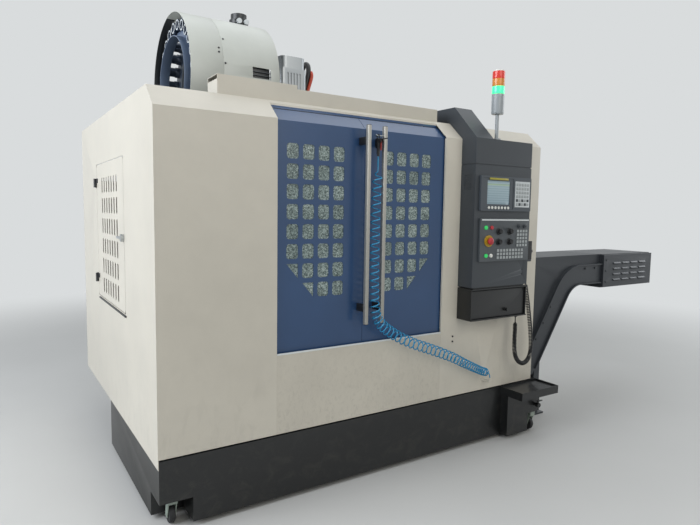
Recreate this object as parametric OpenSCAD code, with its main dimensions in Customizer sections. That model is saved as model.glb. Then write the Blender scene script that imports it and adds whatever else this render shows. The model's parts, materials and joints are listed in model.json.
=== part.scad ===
// Vertical machining centre with enclosure, tool magazine, operator console and chip conveyor.
// Millimetres. x runs from the left wall to the right, y from the front panels to the back, z up.

/* [Enclosure] */
// Width over the two side walls
enclosure_w = 2540; // [2500:10:2800]
// Depth from the front panels to the rear edge of the side walls
enclosure_d = 2040; // [2030:10:2300]
// Height of the lower edge of the front panels
skirt_z = 360; // [356:2:370]
// How far the side walls hang below the front panels
wall_drop = 48; // [10:2:60]
// Height at which the front panels bend back
bend_z = 1948; // [1940:2:2000]
// Rise of the sloping band above the bend
band_rise = 104; // [90:2:120]
// Setback of the sloping band at its top
band_back = 115; // [105:1:130]
// Thickness of the sheet metal
sheet_t = 3; // [2:0.5:4]
// Width of the plain front left panel
left_panel_w = 592; // [560:2:600]
// Width of the door opening
opening_w = 1098; // [1090:2:1110]
// Height of the sill that the doors run on
sill_z = 760; // [750:2:780]
// Inner depth of the left compartment
compartment_w = 212; // [180:2:220]

/* [Sliding doors] */
// How far the door sheets lie behind the front plane
door_recess = 18; // [16:1:22]
// Distance from the left edge of the opening to the seam between the doors
seam_x = 528; // [520:1:536]
// How far each door slides open
door_travel = 450; // [300:5:455]
// How far each closed door reaches behind the panel beside it
door_overlap = 32; // [20:1:60]
// Length of a door's sloping band, measured along y
door_band = 70; // [60:1:76]
// Columns of window holes in each door
window_cols = 4; // [3:1:4]
// Rows of window holes in each door
window_rows = 8; // [6:1:8]
// Spacing of the window columns
window_pitch_x = 91; // [86:1:94]
// Spacing of the window rows
window_pitch_z = 101; // [90:1:104]
// Width of one window hole
window_w = 67; // [50:1:72]
// Height of one window hole
window_h = 77; // [60:1:82]
// Corner radius of a window hole
window_r = 16; // [8:1:24]
// Centre height of the top row of windows
window_top_z = 1799; // [1780:1:1830]
// Distance from the seam to the nearest window column
window_seam = 163; // [150:1:175]
// Thickness of the window panes
pane_t = 5; // [3:1:8]
// Side of the square handle tubes
handle_w = 36; // [30:1:40]
// Height of the lower end of the handles
handle_low_z = 888; // [870:2:950]
// Height of the upper end of the handles
handle_high_z = 1930; // [1800:2:1940]
// Gap between the front plane and the back of a handle
handle_gap = 42; // [30:1:60]
// Distance from the seam to the middle of the right handle
handle_right_x = 87; // [80:1:95]

/* [Side door] */
// Distance of the side door's front edge from the front plane
side_door_y = 634; // [500:2:700]
// Width of the side door
side_door_w = 812; // [700:2:900]
// Height of the side door's lower edge
side_door_z = 935; // [850:5:1000]
// Height of the side door itself
side_door_h = 837; // [780:1:900]
// Depth of the side door's folded edges
side_door_t = 20; // [14:1:28]
// Gap around the side door
side_door_gap = 4; // [2:0.5:6]
// Columns of ventilation slots
vent_cols = 7; // [3:1:8]
// Rows of ventilation slots
vent_rows = 6; // [2:1:6]
// Width of one ventilation slot
vent_w = 30; // [14:1:40]
// Height of one ventilation slot
vent_h = 96; // [60:1:105]
// Spacing of the slots along the wall
vent_pitch_y = 74; // [50:1:80]
// Spacing of the slot rows
vent_pitch_z = 124; // [110:1:126]
// Diameter of the hinge knuckles
hinge_d = 18; // [14:1:22]
// Diameter of the hinge pins
hinge_pin_d = 8; // [5:0.5:10]
// Length of one hinge knuckle
knuckle_h = 28; // [20:1:40]

/* [Machine] */
// Distance of the spindle axis from the left wall
spindle_x = 1145; // [1140:1:1160]
// Distance of the spindle axis from the front plane
spindle_y = 1000; // [990:1:1010]
// Height of the spindle nose with the head at the top
nose_z = 1600; // [1596:1:1640]
// Height of the table top
table_z = 930; // [925:1:940]
// Length of the table
table_l = 1000; // [900:10:1040]
// Depth of the table
table_d = 500; // [420:5:500]
// Thickness of the table
table_t = 129.7; // [110:0.1:130]
// Number of T slots in the table
slot_count = 5; // [3:1:5]
// Width of a T slot's throat
slot_w = 18; // [12:1:20]
// Width of a T slot's foot
slot_foot_w = 32; // [24:1:36]
// Spacing of the T slots
slot_pitch = 100; // [80:1:110]
// Travel of the table each way along x
travel_x = 400; // [300:5:410]
// Travel of the saddle each way along y
travel_y = 250; // [200:5:250]
// Travel of the head down from the top
travel_z = 550; // [400:5:560]
// Diameter of the ball screws
screw_d = 32; // [25:1:36]
// Running clearance between a shaft and its bore, on the radius
run_fit = 0.05; // [0.02:0.01:0.1]
// Gap between faces that slide past each other
slide_gap = 0.3; // [0.2:0.05:0.5]
// Width of the guide rails
rail_w = 34; // [26:1:40]
// Height of the guide rails
rail_h = 30; // [24:1:34]
// Height of the bed casting
bed_z = 642; // [638:1:646]
// Width of the bed casting
bed_w = 890; // [860:5:920]
// Width of the column
column_w = 550; // [520:5:560]
// Depth of the column
column_d = 450; // [400:5:480]
// Height of the column's top
column_z = 2350; // [2340:5:2400]
// Throat between the spindle axis and the column
throat = 530; // [525:1:540]
// Width of the spindle head
head_w = 340; // [320:2:344]
// Outer diameter of the spindle nose
nose_d = 128; // [110:1:140]
// Side of the spindle motor
motor_w = 190; // [160:2:210]
// Height of the spindle motor
motor_h = 440; // [380:5:480]
// Folds in the bellows below the head
bellow_folds = 22; // [12:1:28]

/* [Tool magazine] */
// Distance of the magazine's open end from the left wall
magazine_x = 400; // [395:1:410]
// Distance of the magazine's axis from the front plane
magazine_y = 1152; // [1140:1:1160]
// Height of the magazine's axis
magazine_z = 2303; // [2290:1:2320]
// Outer radius of the magazine cover
cover_r = 413; // [405:1:425]
// Length of the magazine cover
cover_l = 560; // [520:5:565]
// Number of tool pots
pot_count = 24; // [12:1:24]
// Radius of the ring of tool pots
pot_ring_r = 343; // [335:1:350]
// Outer diameter of a tool pot
pot_d = 68; // [50:1:76]
// Bore of a tool pot at its mouth
pot_bore_d = 44; // [30:1:48]
// Length of a tool pot
pot_l = 112; // [90:1:116]
// Inner radius of the pot disc
disc_in_r = 262; // [255:1:270]
// Distance of the changer arm's axis from the left wall
arm_x = 785; // [780:1:790]
// Distance of the changer arm's axis from the front plane
arm_y = 1060; // [1050:1:1065]
// Thickness of the changer arm
arm_t = 45; // [30:1:50]
// Clearance between the changer arm and the spindle nose
arm_gap = 10; // [6:1:14]

/* [Console] */
// Distance of the console's left side from the left wall
console_x = 1818; // [1812:1:1840]
// Width of the console
console_w = 492; // [480:2:520]
// How far the console stands out from the front panels
console_t = 120; // [110:1:140]
// Height of the console body's lower edge
console_z = 1053; // [1045:1:1065]
// Height of the console body's upper edge
console_top_z = 1790; // [1780:1:1800]
// Height of the hood's top
hood_z = 1947; // [1940:1:1950]
// Width of the cable duct above the hood
duct_w = 142; // [100:2:200]
// Length of the cable duct behind the front plane
duct_l = 760; // [500:10:900]
// Height of the cable duct's top above the enclosure
duct_h = 94; // [70:1:120]
// Height of the storage box
box_h = 195; // [160:1:210]
// Thickness of the display unit and the operator panel
panel_t = 12; // [11:1:16]
// Diameter of the rotary knobs
knob_d = 42; // [30:1:50]
// Diameter of the push buttons
button_d = 24; // [16:1:30]
// Travel of the push buttons
button_travel = 4; // [2:0.5:5]
// Diameter of the emergency stop's head
stop_d = 44; // [36:1:56]
// Diameter of the signal lamps
lamp_d = 75; // [60:1:80]
// Height of one signal lamp
lamp_h = 45; // [40:1:60]

/* [Coolant tank and conveyor] */
// Height of the tank's top
tank_z = 352; // [340:1:354]
// Height of the tank's underside
tank_low_z = 25; // [20:1:40]
// Depth of the tank along the front
tank_d = 300; // [260:5:310]
// How far the pump end stands out in front
pump_out = 60; // [50:1:100]
// How far its top tray stands out beyond the body
tray_out = 125; // [80:1:140]
// Height of the tray's edge
tray_h = 52; // [40:1:60]
// Width of the pump end
pump_w = 320; // [300:5:420]
// How far the pump end reaches past the right wall
pump_past = 30; // [20:1:60]
// Distance of the right castor from the pump end's corner, both ways
castor_inset = 40; // [36:1:60]
// Width and depth of the left castor's recess
castor_bay = 160; // [154:1:170]
// Radius of the castor wheels
wheel_r = 45; // [38:1:50]
// Width of the castor wheels
wheel_w = 28; // [20:1:32]
// Diameter of the castor axles
axle_d = 10; // [8:0.5:12]
// Length of the conveyor beyond the right wall
conveyor_out = 1460; // [1300:10:1600]
// Width of the conveyor
conveyor_w = 400; // [340:5:420]
// Height of the conveyor's head above the floor
head_low_z = 985; // [950:5:1000]
// Height of the conveyor's head
head_box_h = 220; // [200:5:240]
// Thickness of the inclined duct
duct_t = 150; // [140:1:152]
// Inner radius of the duct's bend
bend_r = 170; // [100:5:240]
// Length of the drive box at the end of the head
drive_l = 655; // [600:5:700]
// How far the drive box hangs below the duct
drive_drop = 37; // [20:1:60]
// Height of the conveyor's trough
trough_h = 190; // [160:2:194]
// Slope of the conveyor
conveyor_slope = 57; // [54:1:60]

/* [Hidden] */
$fn = 48;

top_z = bend_z + band_rise;
wall_z = skirt_z - wall_drop;
opening_x1 = left_panel_w + opening_w;
door_seam = left_panel_w + seam_x;
seam_gap = 2;
door_low_z = sill_z + 10 + slide_gap;
door_bend_z = bend_z - 3;
door_top_z = door_bend_z + door_band * band_rise / band_back;
left_door_x0 = left_panel_w - door_overlap;
left_door_x1 = door_seam - seam_gap / 2;
right_door_x0 = door_seam + seam_gap / 2;
right_door_x1 = opening_x1 + door_overlap;

rail_top_z = bed_z + rail_h;
saddle_low_z = rail_top_z + slide_gap;
saddle_t = 98;
saddle_top_z = saddle_low_z + saddle_t;
saddle_l = 1020;
saddle_d = 420;
table_low_z = table_z - table_t;
x_rail_top_z = table_low_z - slide_gap;
x_screw_z = saddle_top_z - 36;
y_screw_z = bed_z - 24;
bed_y0 = 330;
foot_h = 60;
bed_y1 = spindle_y + throat + column_d;
column_y = spindle_y + throat;
z_rail_y = column_y - rail_h;
head_y1 = z_rail_y - slide_gap;
z_rail_low = table_z + 30;
z_rail_x = 165;
bellows_x = z_rail_x + rail_w / 2 + 14;
nose_l = 40;
quill_l = 120;
quill_d = 176;
head_low = nose_z + nose_l + quill_l;
head_high = head_low + 320;
z_nut_z = head_low + 160;
x_motor_w = 108;
x_motor_l = 175;

arm_top_z = nose_z - arm_gap;
arm_reach = sqrt(pow(spindle_x - arm_x, 2) + pow(spindle_y - arm_y, 2));
arm_line = atan2(spindle_y - arm_y, spindle_x - arm_x);
gearbox_z = nose_z + nose_l;
cover_in_r = cover_r - sheet_t;
cover_from = 75;
cover_to = 226;
disc_x = magazine_x + 30 + pot_l;
disc_t = 26;
ring_x = disc_x + disc_t + 0.5;
ring_t = 25;

console_x1 = console_x + console_w;
panel_y = -console_t;
box_z = console_z - 8 - box_h;
box_wall = 6;
tower_x = console_x + 228;
tower_y = panel_y / 2;
lamp_z = hood_z + 282;
display_z = 1518;
display_h = 209;
keys_z = 1211;
keys_h = 263;
pendant_x = console_x1 + 6;
pendant_z = 1210;

pump_x1 = enclosure_w + pump_past;
pump_x0 = pump_x1 - pump_w;
tray_x1 = pump_x1 + 30;
castor_y = 75;
castor_left_x = 80;
castor_right_x = pump_x1 - castor_inset;
castor_right_y = castor_inset - pump_out;
bay_z = 146;
trail = 24;
castor_swing = trail + wheel_r + 7;

trough_z0 = skirt_z + 15;
trough_x0 = opening_x1 + 70;
trough_x1 = enclosure_w + 56;
conveyor_x1 = enclosure_w + conveyor_out;
conveyor_y0 = 30;
conveyor_y1 = conveyor_y0 + conveyor_w;
head_top_z = head_low_z + head_box_h;
incline_x = trough_x1 + (head_low_z - trough_z0) / tan(conveyor_slope);
bend_x = incline_x + bend_r * tan(conveyor_slope / 2);
bend_low_z = head_low_z - bend_r;
drive_x0 = conveyor_x1 - drive_l;
drive_low_z = head_low_z - drive_drop;

hinge_x = -10;
hinge_y = side_door_y + side_door_w + 6;
hinge_inset = 85;
latch_d = 16;

cabinet_y0 = column_y + column_d;
cabinet_d = 380;
cabinet_w = 1100;
front_y = -pump_out - tray_out;
rear_y = cabinet_y0 + cabinet_d;
left_x = hinge_x - hinge_d / 2;
origin_x = (left_x + conveyor_x1) / 2;
origin_y = (front_y + rear_y) / 2;

gun_x = door_seam + 32;
gun_y = -handle_gap - handle_w / 2;
hook_z = 1905;
hook_d = 6;
eye_r = 8;
hose_od = 52;
cord_od = 30;
key_rise = 3;
tail_d = 8;
outlet_x = 2070;
outlet_z = 425;

function band_sheet(y0, z0, zb, back, rise, t) = [
    [y0, z0], [y0, zb], [y0 + back, zb + rise],
    [y0 + back, zb + rise - t * 1.35], [y0 + t, zb - t * 0.4], [y0 + t, z0]];

// Box between two corners
module block(x0, x1, y0, y1, z0, z1) {
    translate([x0, y0, z0]) cube([x1 - x0, y1 - y0, z1 - z0]);
}

module rod_x(x0, x1, y, z, d) {
    translate([x0, y, z]) rotate([0, 90, 0]) cylinder(h = x1 - x0, d = d);
}

module rod_y(x, y0, y1, z, d) {
    translate([x, y1, z]) rotate([90, 0, 0]) cylinder(h = y1 - y0, d = d);
}

module rod_z(x, y, z0, z1, d) {
    translate([x, y, z0]) cylinder(h = z1 - z0, d = d);
}

// Outline given in y and z, extruded along x
module slab_x(x0, x1, points) {
    translate([x0, 0, 0]) rotate([90, 0, 90]) linear_extrude(x1 - x0) polygon(points);
}

// Outline given in x and z, extruded along y
module slab_y(y0, y1, points) {
    translate([0, y1, 0]) rotate([90, 0, 0]) linear_extrude(y1 - y0) polygon(points);
}

// Flat shape with round corners
module rounded(w, h, r) {
    translate([-w / 2 + r, -h / 2]) square([w - 2 * r, h]);
    translate([-w / 2, -h / 2 + r]) square([w, h - 2 * r]);
    for (sx = [-1, 1], sy = [-1, 1])
        translate([sx * (w / 2 - r), sy * (h / 2 - r)]) circle(r);
}

// Closed tube swept through a list of points, its rings turned to follow the route
function unit(v) = v / norm(v);
function heading(p, i) = unit(i == 0 ? p[1] - p[0]
    : i == len(p) - 1 ? p[i] - p[i - 1] : unit(p[i] - p[i - 1]) + unit(p[i + 1] - p[i]));
function side_of(t) = unit(cross(t, abs(t[1]) < 0.9 ? [0, 1, 0] : [1, 0, 0]));

module swept_tube(route, d, sides) {
    rings = [for (i = [0 : len(route) - 1])
        let (t = heading(route, i), u = side_of(t), v = cross(u, t))
        for (k = [0 : sides - 1])
            route[i] + d / 2 * (cos(k * 360 / sides) * u + sin(k * 360 / sides) * v)];
    last = len(route) - 1;
    walls = [for (i = [0 : last - 1], k = [0 : sides - 1])
        [i * sides + k, i * sides + (k + 1) % sides,
         (i + 1) * sides + (k + 1) % sides, (i + 1) * sides + k]];
    ends = [[for (k = [0 : sides - 1]) sides - 1 - k], [for (k = [0 : sides - 1]) last * sides + k]];
    polyhedron(rings, concat(walls, ends), convexity = 8);
}

// Levelling foot: pad, screw and lock nut
module levelling_foot(x, y) {
    pad_d = 110;
    pad_h = 22;
    rod_z(x, y, 0, pad_h, pad_d);
    rod_z(x, y, pad_h - 1, foot_h + 1, 40);
    translate([x, y, foot_h - 24]) cylinder(h = 25, d = 76, $fn = 6);
}

// Pocket with round corners, cut into a casting's side face at x and going in by depth
module side_pocket(x, depth, y, z, w, h) {
    translate([x, y, z]) rotate([90, 0, 90]) linear_extrude(depth) rounded(w, h, 34);
}

module base_casting() color("#5b6166") {
    x0 = spindle_x - bed_w / 2;
    x1 = spindle_x + bed_w / 2;
    pocket_d = 60;
    pocket_w = 240;
    pocket_pitch = 290;
    pocket_z0 = 180;
    pocket_z1 = bed_z - 150;
    toe = 50;
    difference() {
        union() {
            slab_x(x0, x1, [[bed_y0 + toe, foot_h], [bed_y1 - toe, foot_h], [bed_y1, foot_h + toe],
                [bed_y1, bed_z], [bed_y0 + 30, bed_z], [bed_y0, bed_z - 60], [bed_y0, foot_h + toe]]);
            for (s = [-1, 1]) block(spindle_x + s * 250 - rail_w / 2, spindle_x + s * 250 + rail_w / 2,
                bed_y0 + 90, column_y - 60, bed_z - 1, rail_top_z);
            for (y = [bed_y0 + 110, (bed_y0 + bed_y1) / 2, bed_y1 - 110], x = [x0 + 60, x1 - 60])
                levelling_foot(x, y);
        }
        block(spindle_x - 62, spindle_x + 62, bed_y0 + 60, column_y - 8, y_screw_z - 58, bed_z + 1);
        for (x = [x0 - 1, x1 - pocket_d], k = [0 : 3])
            side_pocket(x, pocket_d + 1, bed_y0 + 210 + k * pocket_pitch, (pocket_z0 + pocket_z1) / 2,
                pocket_w, pocket_z1 - pocket_z0);
    }
    for (y = [bed_y0 + 61, column_y - 164]) difference() {
        block(spindle_x - 50, spindle_x + 50, y, y + 30, y_screw_z - 58, y_screw_z + 22);
        rod_y(spindle_x, y - 1, y + 31, y_screw_z, screw_d + 2 * run_fit);
    }
    block(spindle_x - 54, spindle_x + 54, column_y - 132, column_y - 9, y_screw_z - 58, y_screw_z + 50);
}

module column() color("#5b6166") {
    x0 = spindle_x - column_w / 2;
    x1 = spindle_x + column_w / 2;
    pocket_d = 70;
    pocket_count = 3;
    pocket_rib = 60;
    pocket_z0 = bed_z + 480;
    pocket_h = (column_z - 260 - pocket_z0) / pocket_count - pocket_rib;
    difference() {
        union() {
            slab_y(column_y, column_y + column_d, [[x0 - 60, bed_z], [x1 + 60, bed_z], [x1, bed_z + 420],
                [x1, column_z], [x0, column_z], [x0, bed_z + 420]]);
            for (s = [-1, 1]) block(spindle_x + s * z_rail_x - rail_w / 2, spindle_x + s * z_rail_x + rail_w / 2,
                z_rail_y, column_y + 1, z_rail_low, column_z - 20);
            block(spindle_x - bellows_x - 10, spindle_x + bellows_x + 10, column_y - 92, column_y + 1,
                z_rail_low - 8, z_rail_low - slide_gap);
        }
        block(spindle_x - 60, spindle_x + 60, column_y - 1, column_y + 52, z_rail_low, column_z - 10);
        for (x = [x0 - 1, x1 - pocket_d], k = [0 : pocket_count - 1])
            side_pocket(x, pocket_d + 1, column_y + column_d / 2, pocket_z0 + (k + 0.5) * (pocket_h + pocket_rib),
                column_d - 220, pocket_h);
    }
    for (z = [z_rail_low, column_z - 41]) difference() {
        block(spindle_x - 50, spindle_x + 50, column_y - 28, column_y + 52, z, z + 30);
        rod_z(spindle_x, column_y, z - 1, z + 31, screw_d + 2 * run_fit);
    }
    color("#26282b") {
        block(spindle_x - 62, spindle_x + 62, column_y - 60, column_y + 64, column_z, column_z + 30);
        rod_z(spindle_x, column_y + 2, column_z + 29, column_z + 60, 110);
    }
}

// Plan outline of the tank around the bed, grown by g; the pump end stands out in front on the right
module tank_plan(out, right) {
    bed_gap = 40;
    bed_x0 = spindle_x - bed_w / 2 - bed_gap;
    bed_x1 = spindle_x + bed_w / 2 + bed_gap;
    x0 = sheet_t + slide_gap;
    pump_y1 = 700;
    tank_y1 = 1150;
    polygon([[x0, 0], [pump_x0, 0], [pump_x0, -out], [right, -out], [right, pump_y1], [bed_x1, pump_y1],
        [bed_x1, tank_d], [bed_x0, tank_d], [bed_x0, tank_y1], [x0, tank_y1]]);
}

// Drain cock: a pipe stub, its body and a lever, pointing away from the tank along +x
module cock() {
    rod_x(-1, 34, 0, 0, 22);
    rod_x(18, 40, 0, 0, 32);
    rod_z(28, 0, 12, 26, 12);
    block(22, 34, -5, 40, 24, 30);
}

module coolant_tank() color("#2f3234") difference() {
    cock_z = 200;
    slot_y = 560;
    slot_z = 100;
    tray_low_z = tank_z - tray_h;
    rim = 4;
    tray_x0 = pump_x0 - 10;
    union() {
        translate([0, 0, tank_low_z]) linear_extrude(tank_z - tray_h / 2 - tank_low_z) tank_plan(pump_out, pump_x1);
        translate([0, 0, tank_z - tray_h / 2 - 1]) linear_extrude(tray_h / 2 + 1) tank_plan(0, pump_x1);
        difference() {
            block(tray_x0, tray_x1, -pump_out - tray_out, 300, tray_low_z, tank_z);
            block(tray_x0 + rim, tray_x1 - rim, -pump_out - tray_out + rim, -rim, tank_z - 12, tank_z + 1);
        }
        translate([pump_x1 - 50, -pump_out, cock_z]) rotate([0, 0, -90]) cock();
        translate([pump_x1, 20, cock_z]) cock();
        for (x = [120, pump_x1 - 120]) rear_wheel(x, slot_y);
    }
    block(-1, castor_bay, -1, castor_bay, tank_low_z - 1, bay_z);
    block(castor_right_x - castor_swing, pump_x1 + 1, -pump_out - 1, castor_right_y + castor_swing,
        tank_low_z - 1, bay_z);
    for (x = [120, pump_x1 - 120]) difference() {
        block(x - 34, x + 34, slot_y - 60, slot_y + 60, tank_low_z - 1, slot_z);
        rear_wheel(x, slot_y);
    }
}

// Wheel that runs in a fixed slot under the tank
module rear_wheel(x, y) {
    rod_x(x - wheel_w / 2, x + wheel_w / 2, y, wheel_r, 2 * wheel_r);
    rod_x(x - 35, x + 35, y, wheel_r, axle_d);
}

module castor_fork(x, y) color("#9aa79c") {
    half = wheel_w / 2 + 3;
    difference() {
        union() {
            rod_z(x, y, bay_z - 13, bay_z - slide_gap, 62);
            block(x - half - 5, x + half + 5, y - 20, y + 22, bay_z - 40, bay_z - 12);
            for (s = [-1, 1]) slab_x(s < 0 ? x - half - 5 : x + half, s < 0 ? x - half : x + half + 5,
                [[y - 20, bay_z - 14], [y + 22, bay_z - 14], [y + trail + 14, wheel_r - 6],
                 [y + trail - 14, wheel_r - 14]]);
        }
        rod_x(x - half, x + half, y + trail, wheel_r, 2 * wheel_r + 8);
    }
    rod_x(x - half - 8, x + half + 8, y + trail, wheel_r, axle_d);
}

module castor_wheel(x, y) color("#1d1e20") difference() {
    union() {
        rod_x(x - wheel_w / 2, x + wheel_w / 2, y + trail, wheel_r, 2 * wheel_r - 6);
        rod_x(x - wheel_w / 2 + 5, x + wheel_w / 2 - 5, y + trail, wheel_r, 2 * wheel_r);
    }
    rod_x(x - wheel_w, x + wheel_w, y + trail, wheel_r, axle_d + 2 * run_fit);
}

module castor_left() castor_fork(castor_left_x, castor_y);
module wheel_left() castor_wheel(castor_left_x, castor_y);
module castor_right() castor_fork(castor_right_x, castor_right_y);
module wheel_right() castor_wheel(castor_right_x, castor_right_y);

// Line that runs up the duct at a distance from its underside: the slope from height z, the bend, the
// head up to x
function duct_line(off, z, x) = concat(
    [[trough_x1 - off / sin(conveyor_slope) + (z - trough_z0) / tan(conveyor_slope), z]],
    [for (i = [0 : 8]) let (a = 90 + conveyor_slope * (1 - i / 8))
        [bend_x + (bend_r + off) * cos(a), bend_low_z + (bend_r + off) * sin(a)]],
    [[x, head_low_z + off]]);

function backwards(points) = [for (i = [len(points) - 1 : -1 : 0]) points[i]];

// Strip of the duct's side between two distances from its underside
module duct_strip(near, far, z, x, y0, y1) {
    slab_y(y0, y1, concat(duct_line(near, z, x), backwards(duct_line(far, z, x))));
}

module conveyor_case() color("#3a3d41") {
    plate_x = enclosure_w + 25;
    trough_top_z = trough_z0 + trough_h;
    flange_h = 14;
    flange_w = 9;
    leg_x = incline_x - 190;
    leg_w = 60;
    outlet_l = 300;
    wall = 30;
    difference() {
        union() {
            block(trough_x0, trough_x1 - duct_t, conveyor_y0, conveyor_y1, trough_z0, trough_top_z);
            duct_strip(0, duct_t, trough_z0, drive_x0 + 1, conveyor_y0, conveyor_y1);
            slab_y(conveyor_y0, conveyor_y1, [[trough_x1 - duct_t - 1, trough_z0], [trough_x1, trough_z0],
                [trough_x1 - duct_t / sin(conveyor_slope) + trough_h / tan(conveyor_slope), trough_top_z],
                [trough_x1 - duct_t - 1, trough_top_z]]);
            slab_y(conveyor_y0 + 18, conveyor_y1, concat([[plate_x, trough_top_z - 1],
                [plate_x, head_top_z - 45], [plate_x + 30, head_top_z - 4], [drive_x0 + 1, head_top_z]],
                backwards(duct_line(duct_t - 20, trough_top_z - 1, drive_x0 + 1))));
            block(drive_x0, conveyor_x1, conveyor_y0, conveyor_y1, drive_low_z, head_top_z);
            for (edge = [[0, trough_z0 + 40], [duct_t - flange_w, trough_top_z + 20]])
                duct_strip(edge[0], edge[0] + flange_w, edge[1], drive_x0 - 6, conveyor_y0 - flange_h,
                    conveyor_y0 + 1);
            for (x = [trough_x0 + 80, enclosure_w - 120])
                block(x, x + 60, conveyor_y0 + 50, conveyor_y1 - 50, tank_z, trough_z0 + 1);
            block(leg_x, leg_x + leg_w, 180, 280, 0,
                trough_z0 + (leg_x + leg_w - trough_x1) * tan(conveyor_slope) + 1);
            block(leg_x - 30, leg_x + leg_w + 30, 150, 310, 0, 12);
        }
        block(trough_x0 + 20, enclosure_w - 240, conveyor_y0 + wall, conveyor_y1 - wall,
            trough_z0 + 45, trough_top_z + 1);
        block(conveyor_x1 - 50 - outlet_l, conveyor_x1 - 50, conveyor_y0 + wall, conveyor_y1 - wall,
            drive_low_z - 1, head_top_z - 25);
    }
    color("#a9adb0") {
        for (k = [0 : 2]) let (z = trough_z0 + 250 + k * 110, off = duct_t - 32)
            duct_bolt(trough_x1 - off / sin(conveyor_slope) + (z - trough_z0) / tan(conveyor_slope), z);
        for (k = [0 : 1]) duct_bolt(drive_x0 - 200 + k * 120, head_low_z + duct_t - 32);
    }
}

module duct_bolt(x, z) translate([x, conveyor_y0 + 1, z]) rotate([90, 0, 0]) cylinder(h = 9, d = 16, $fn = 6);

// Drive cover on the conveyor's head, with four rows of four raised louvres
module conveyor_cover() color("#3a3d41") {
    x0 = drive_x0;
    z0 = drive_low_z + 4;
    z1 = head_top_z - 4;
    y = conveyor_y0 - 22;
    skin = 2;
    difference() {
        union() {
            block(x0, conveyor_x1, y, y + skin, z0, z1);
            for (z = [z0, z1 - skin]) block(x0, conveyor_x1, y, conveyor_y0, z, z + skin);
            for (x = [x0, conveyor_x1 - skin]) block(x, x + skin, y, conveyor_y0, z0, z1);
            louvres(x0, z0, y) louvre_hood();
            for (k = [0 : 2]) rod_y(x0 + 34, y - 5, y + 1, z0 + 40 + k * (z1 - z0 - 80) / 2, 14);
        }
        louvres(x0, z0, y) block(-44, 44, -1, 3, -3, 5);
    }
}

module louvres(x0, z0, y) {
    for (i = [0 : 3], k = [0 : 3]) translate([x0 + 171 + i * 116, y, z0 + 46 + k * 43]) children();
}

module louvre_hood() {
    slab_x(-46, 46, [[0, 14], [-8, 6], [-8, 0], [-6, 0], [-6, 5], [0, 11]]);
}

module left_panel() color("#c9c4b6") {
    x0 = sheet_t;
    x1 = left_panel_w;
    slab_x(x0, x1, band_sheet(0, skirt_z, bend_z, band_back, band_rise, sheet_t));
    block(x0, x1, band_back, band_back + 20, top_z - sheet_t, top_z);
    block(x0, x1, sheet_t, 22, skirt_z, skirt_z + sheet_t);
    block(x1 - sheet_t, x1, sheet_t, door_recess - 6, skirt_z + sheet_t, bend_z - 8);
}

module wall_plate(x0, z0) {
    slab_x(x0, x0 + sheet_t, [[0, z0], [0, bend_z], [band_back, top_z], [enclosure_d, top_z],
        [enclosure_d, z0]]);
}

module left_wall() color("#d8d4c8") {
    y0 = side_door_y - side_door_gap;
    y1 = side_door_y + side_door_w + side_door_gap;
    z0 = side_door_z - side_door_gap;
    z1 = side_door_z + side_door_h + side_door_gap;
    difference() {
        wall_plate(0, wall_z);
        block(-1, sheet_t + 1, y0, y1, z0, z1);
    }
    block(-8, 1, y0 - 20, y1 - 40, z0 - 14, z0 - 6);
    block(sheet_t, 560, enclosure_d - sheet_t, enclosure_d, wall_z, 1700);
    block(sheet_t, compartment_w, band_back + 20, enclosure_d - sheet_t, top_z - sheet_t, top_z);
    color("#222426") for (z = hinge_heights()) {
        difference() {
            union() {
                rod_z(hinge_x, hinge_y, z, z + knuckle_h, hinge_d);
                block(hinge_x, 0, hinge_y, hinge_y + 8, z, z + knuckle_h);
                block(-4, 0, hinge_y, hinge_y + 42, z, z + 2 * knuckle_h);
            }
            rod_z(hinge_x, hinge_y, z - 1, z + knuckle_h + 1, hinge_pin_d + 2 * run_fit);
            rod_z(hinge_x, hinge_y, z + knuckle_h, z + 3 * knuckle_h, hinge_d + 2);
        }
    }
}

function hinge_heights() = [side_door_z + hinge_inset, side_door_z + side_door_h - hinge_inset - 2 * knuckle_h];

module side_door() color("#d8d4c8") {
    y0 = side_door_y;
    y1 = side_door_y + side_door_w;
    z0 = side_door_z;
    z1 = side_door_z + side_door_h;
    mid_y = side_door_y + side_door_w * 0.5;
    mid_z = side_door_z + side_door_h * 0.47;
    difference() {
        translate([0, (y0 + y1) / 2, (z0 + z1) / 2]) rotate([90, 0, 90])
            linear_extrude(sheet_t) rounded(y1 - y0, z1 - z0, 24);
        for (i = [0 : vent_cols - 1], k = [0 : vent_rows - 1])
            translate([-1, mid_y + (i - (vent_cols - 1) / 2) * vent_pitch_y,
                mid_z + (k - (vent_rows - 1) / 2) * vent_pitch_z])
                rotate([90, 0, 90]) linear_extrude(sheet_t + 2) rounded(vent_w, vent_h, vent_w / 2 - 1);
        rod_x(-1, sheet_t + 1, latch_y(), latch_z(), latch_d + 2 * run_fit);
    }
    for (y = [y0 + 30, y1 - 30 - sheet_t]) block(sheet_t - 0.5, side_door_t, y, y + sheet_t, z0 + 30, z1 - 30);
    for (z = [z0 + 30, z1 - 30 - sheet_t]) block(sheet_t - 0.5, side_door_t, y0 + 30, y1 - 30, z, z + sheet_t);
    color("#222426") for (z = hinge_heights()) {
        rod_z(hinge_x, hinge_y, z + knuckle_h + 0.5, z + 2 * knuckle_h, hinge_d);
        rod_z(hinge_x, hinge_y, z + 2, z + knuckle_h + 1, hinge_pin_d);
        block(hinge_x, -2, hinge_y - 8, hinge_y, z + knuckle_h + 0.5, z + 2 * knuckle_h);
        block(-4, 0.5, hinge_y - 48, hinge_y - 7, z + knuckle_h + 0.5, z + 2 * knuckle_h);
    }
}

function latch_y() = side_door_y + 32 - 14;
function latch_z() = side_door_z + side_door_h * 0.486;

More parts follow.
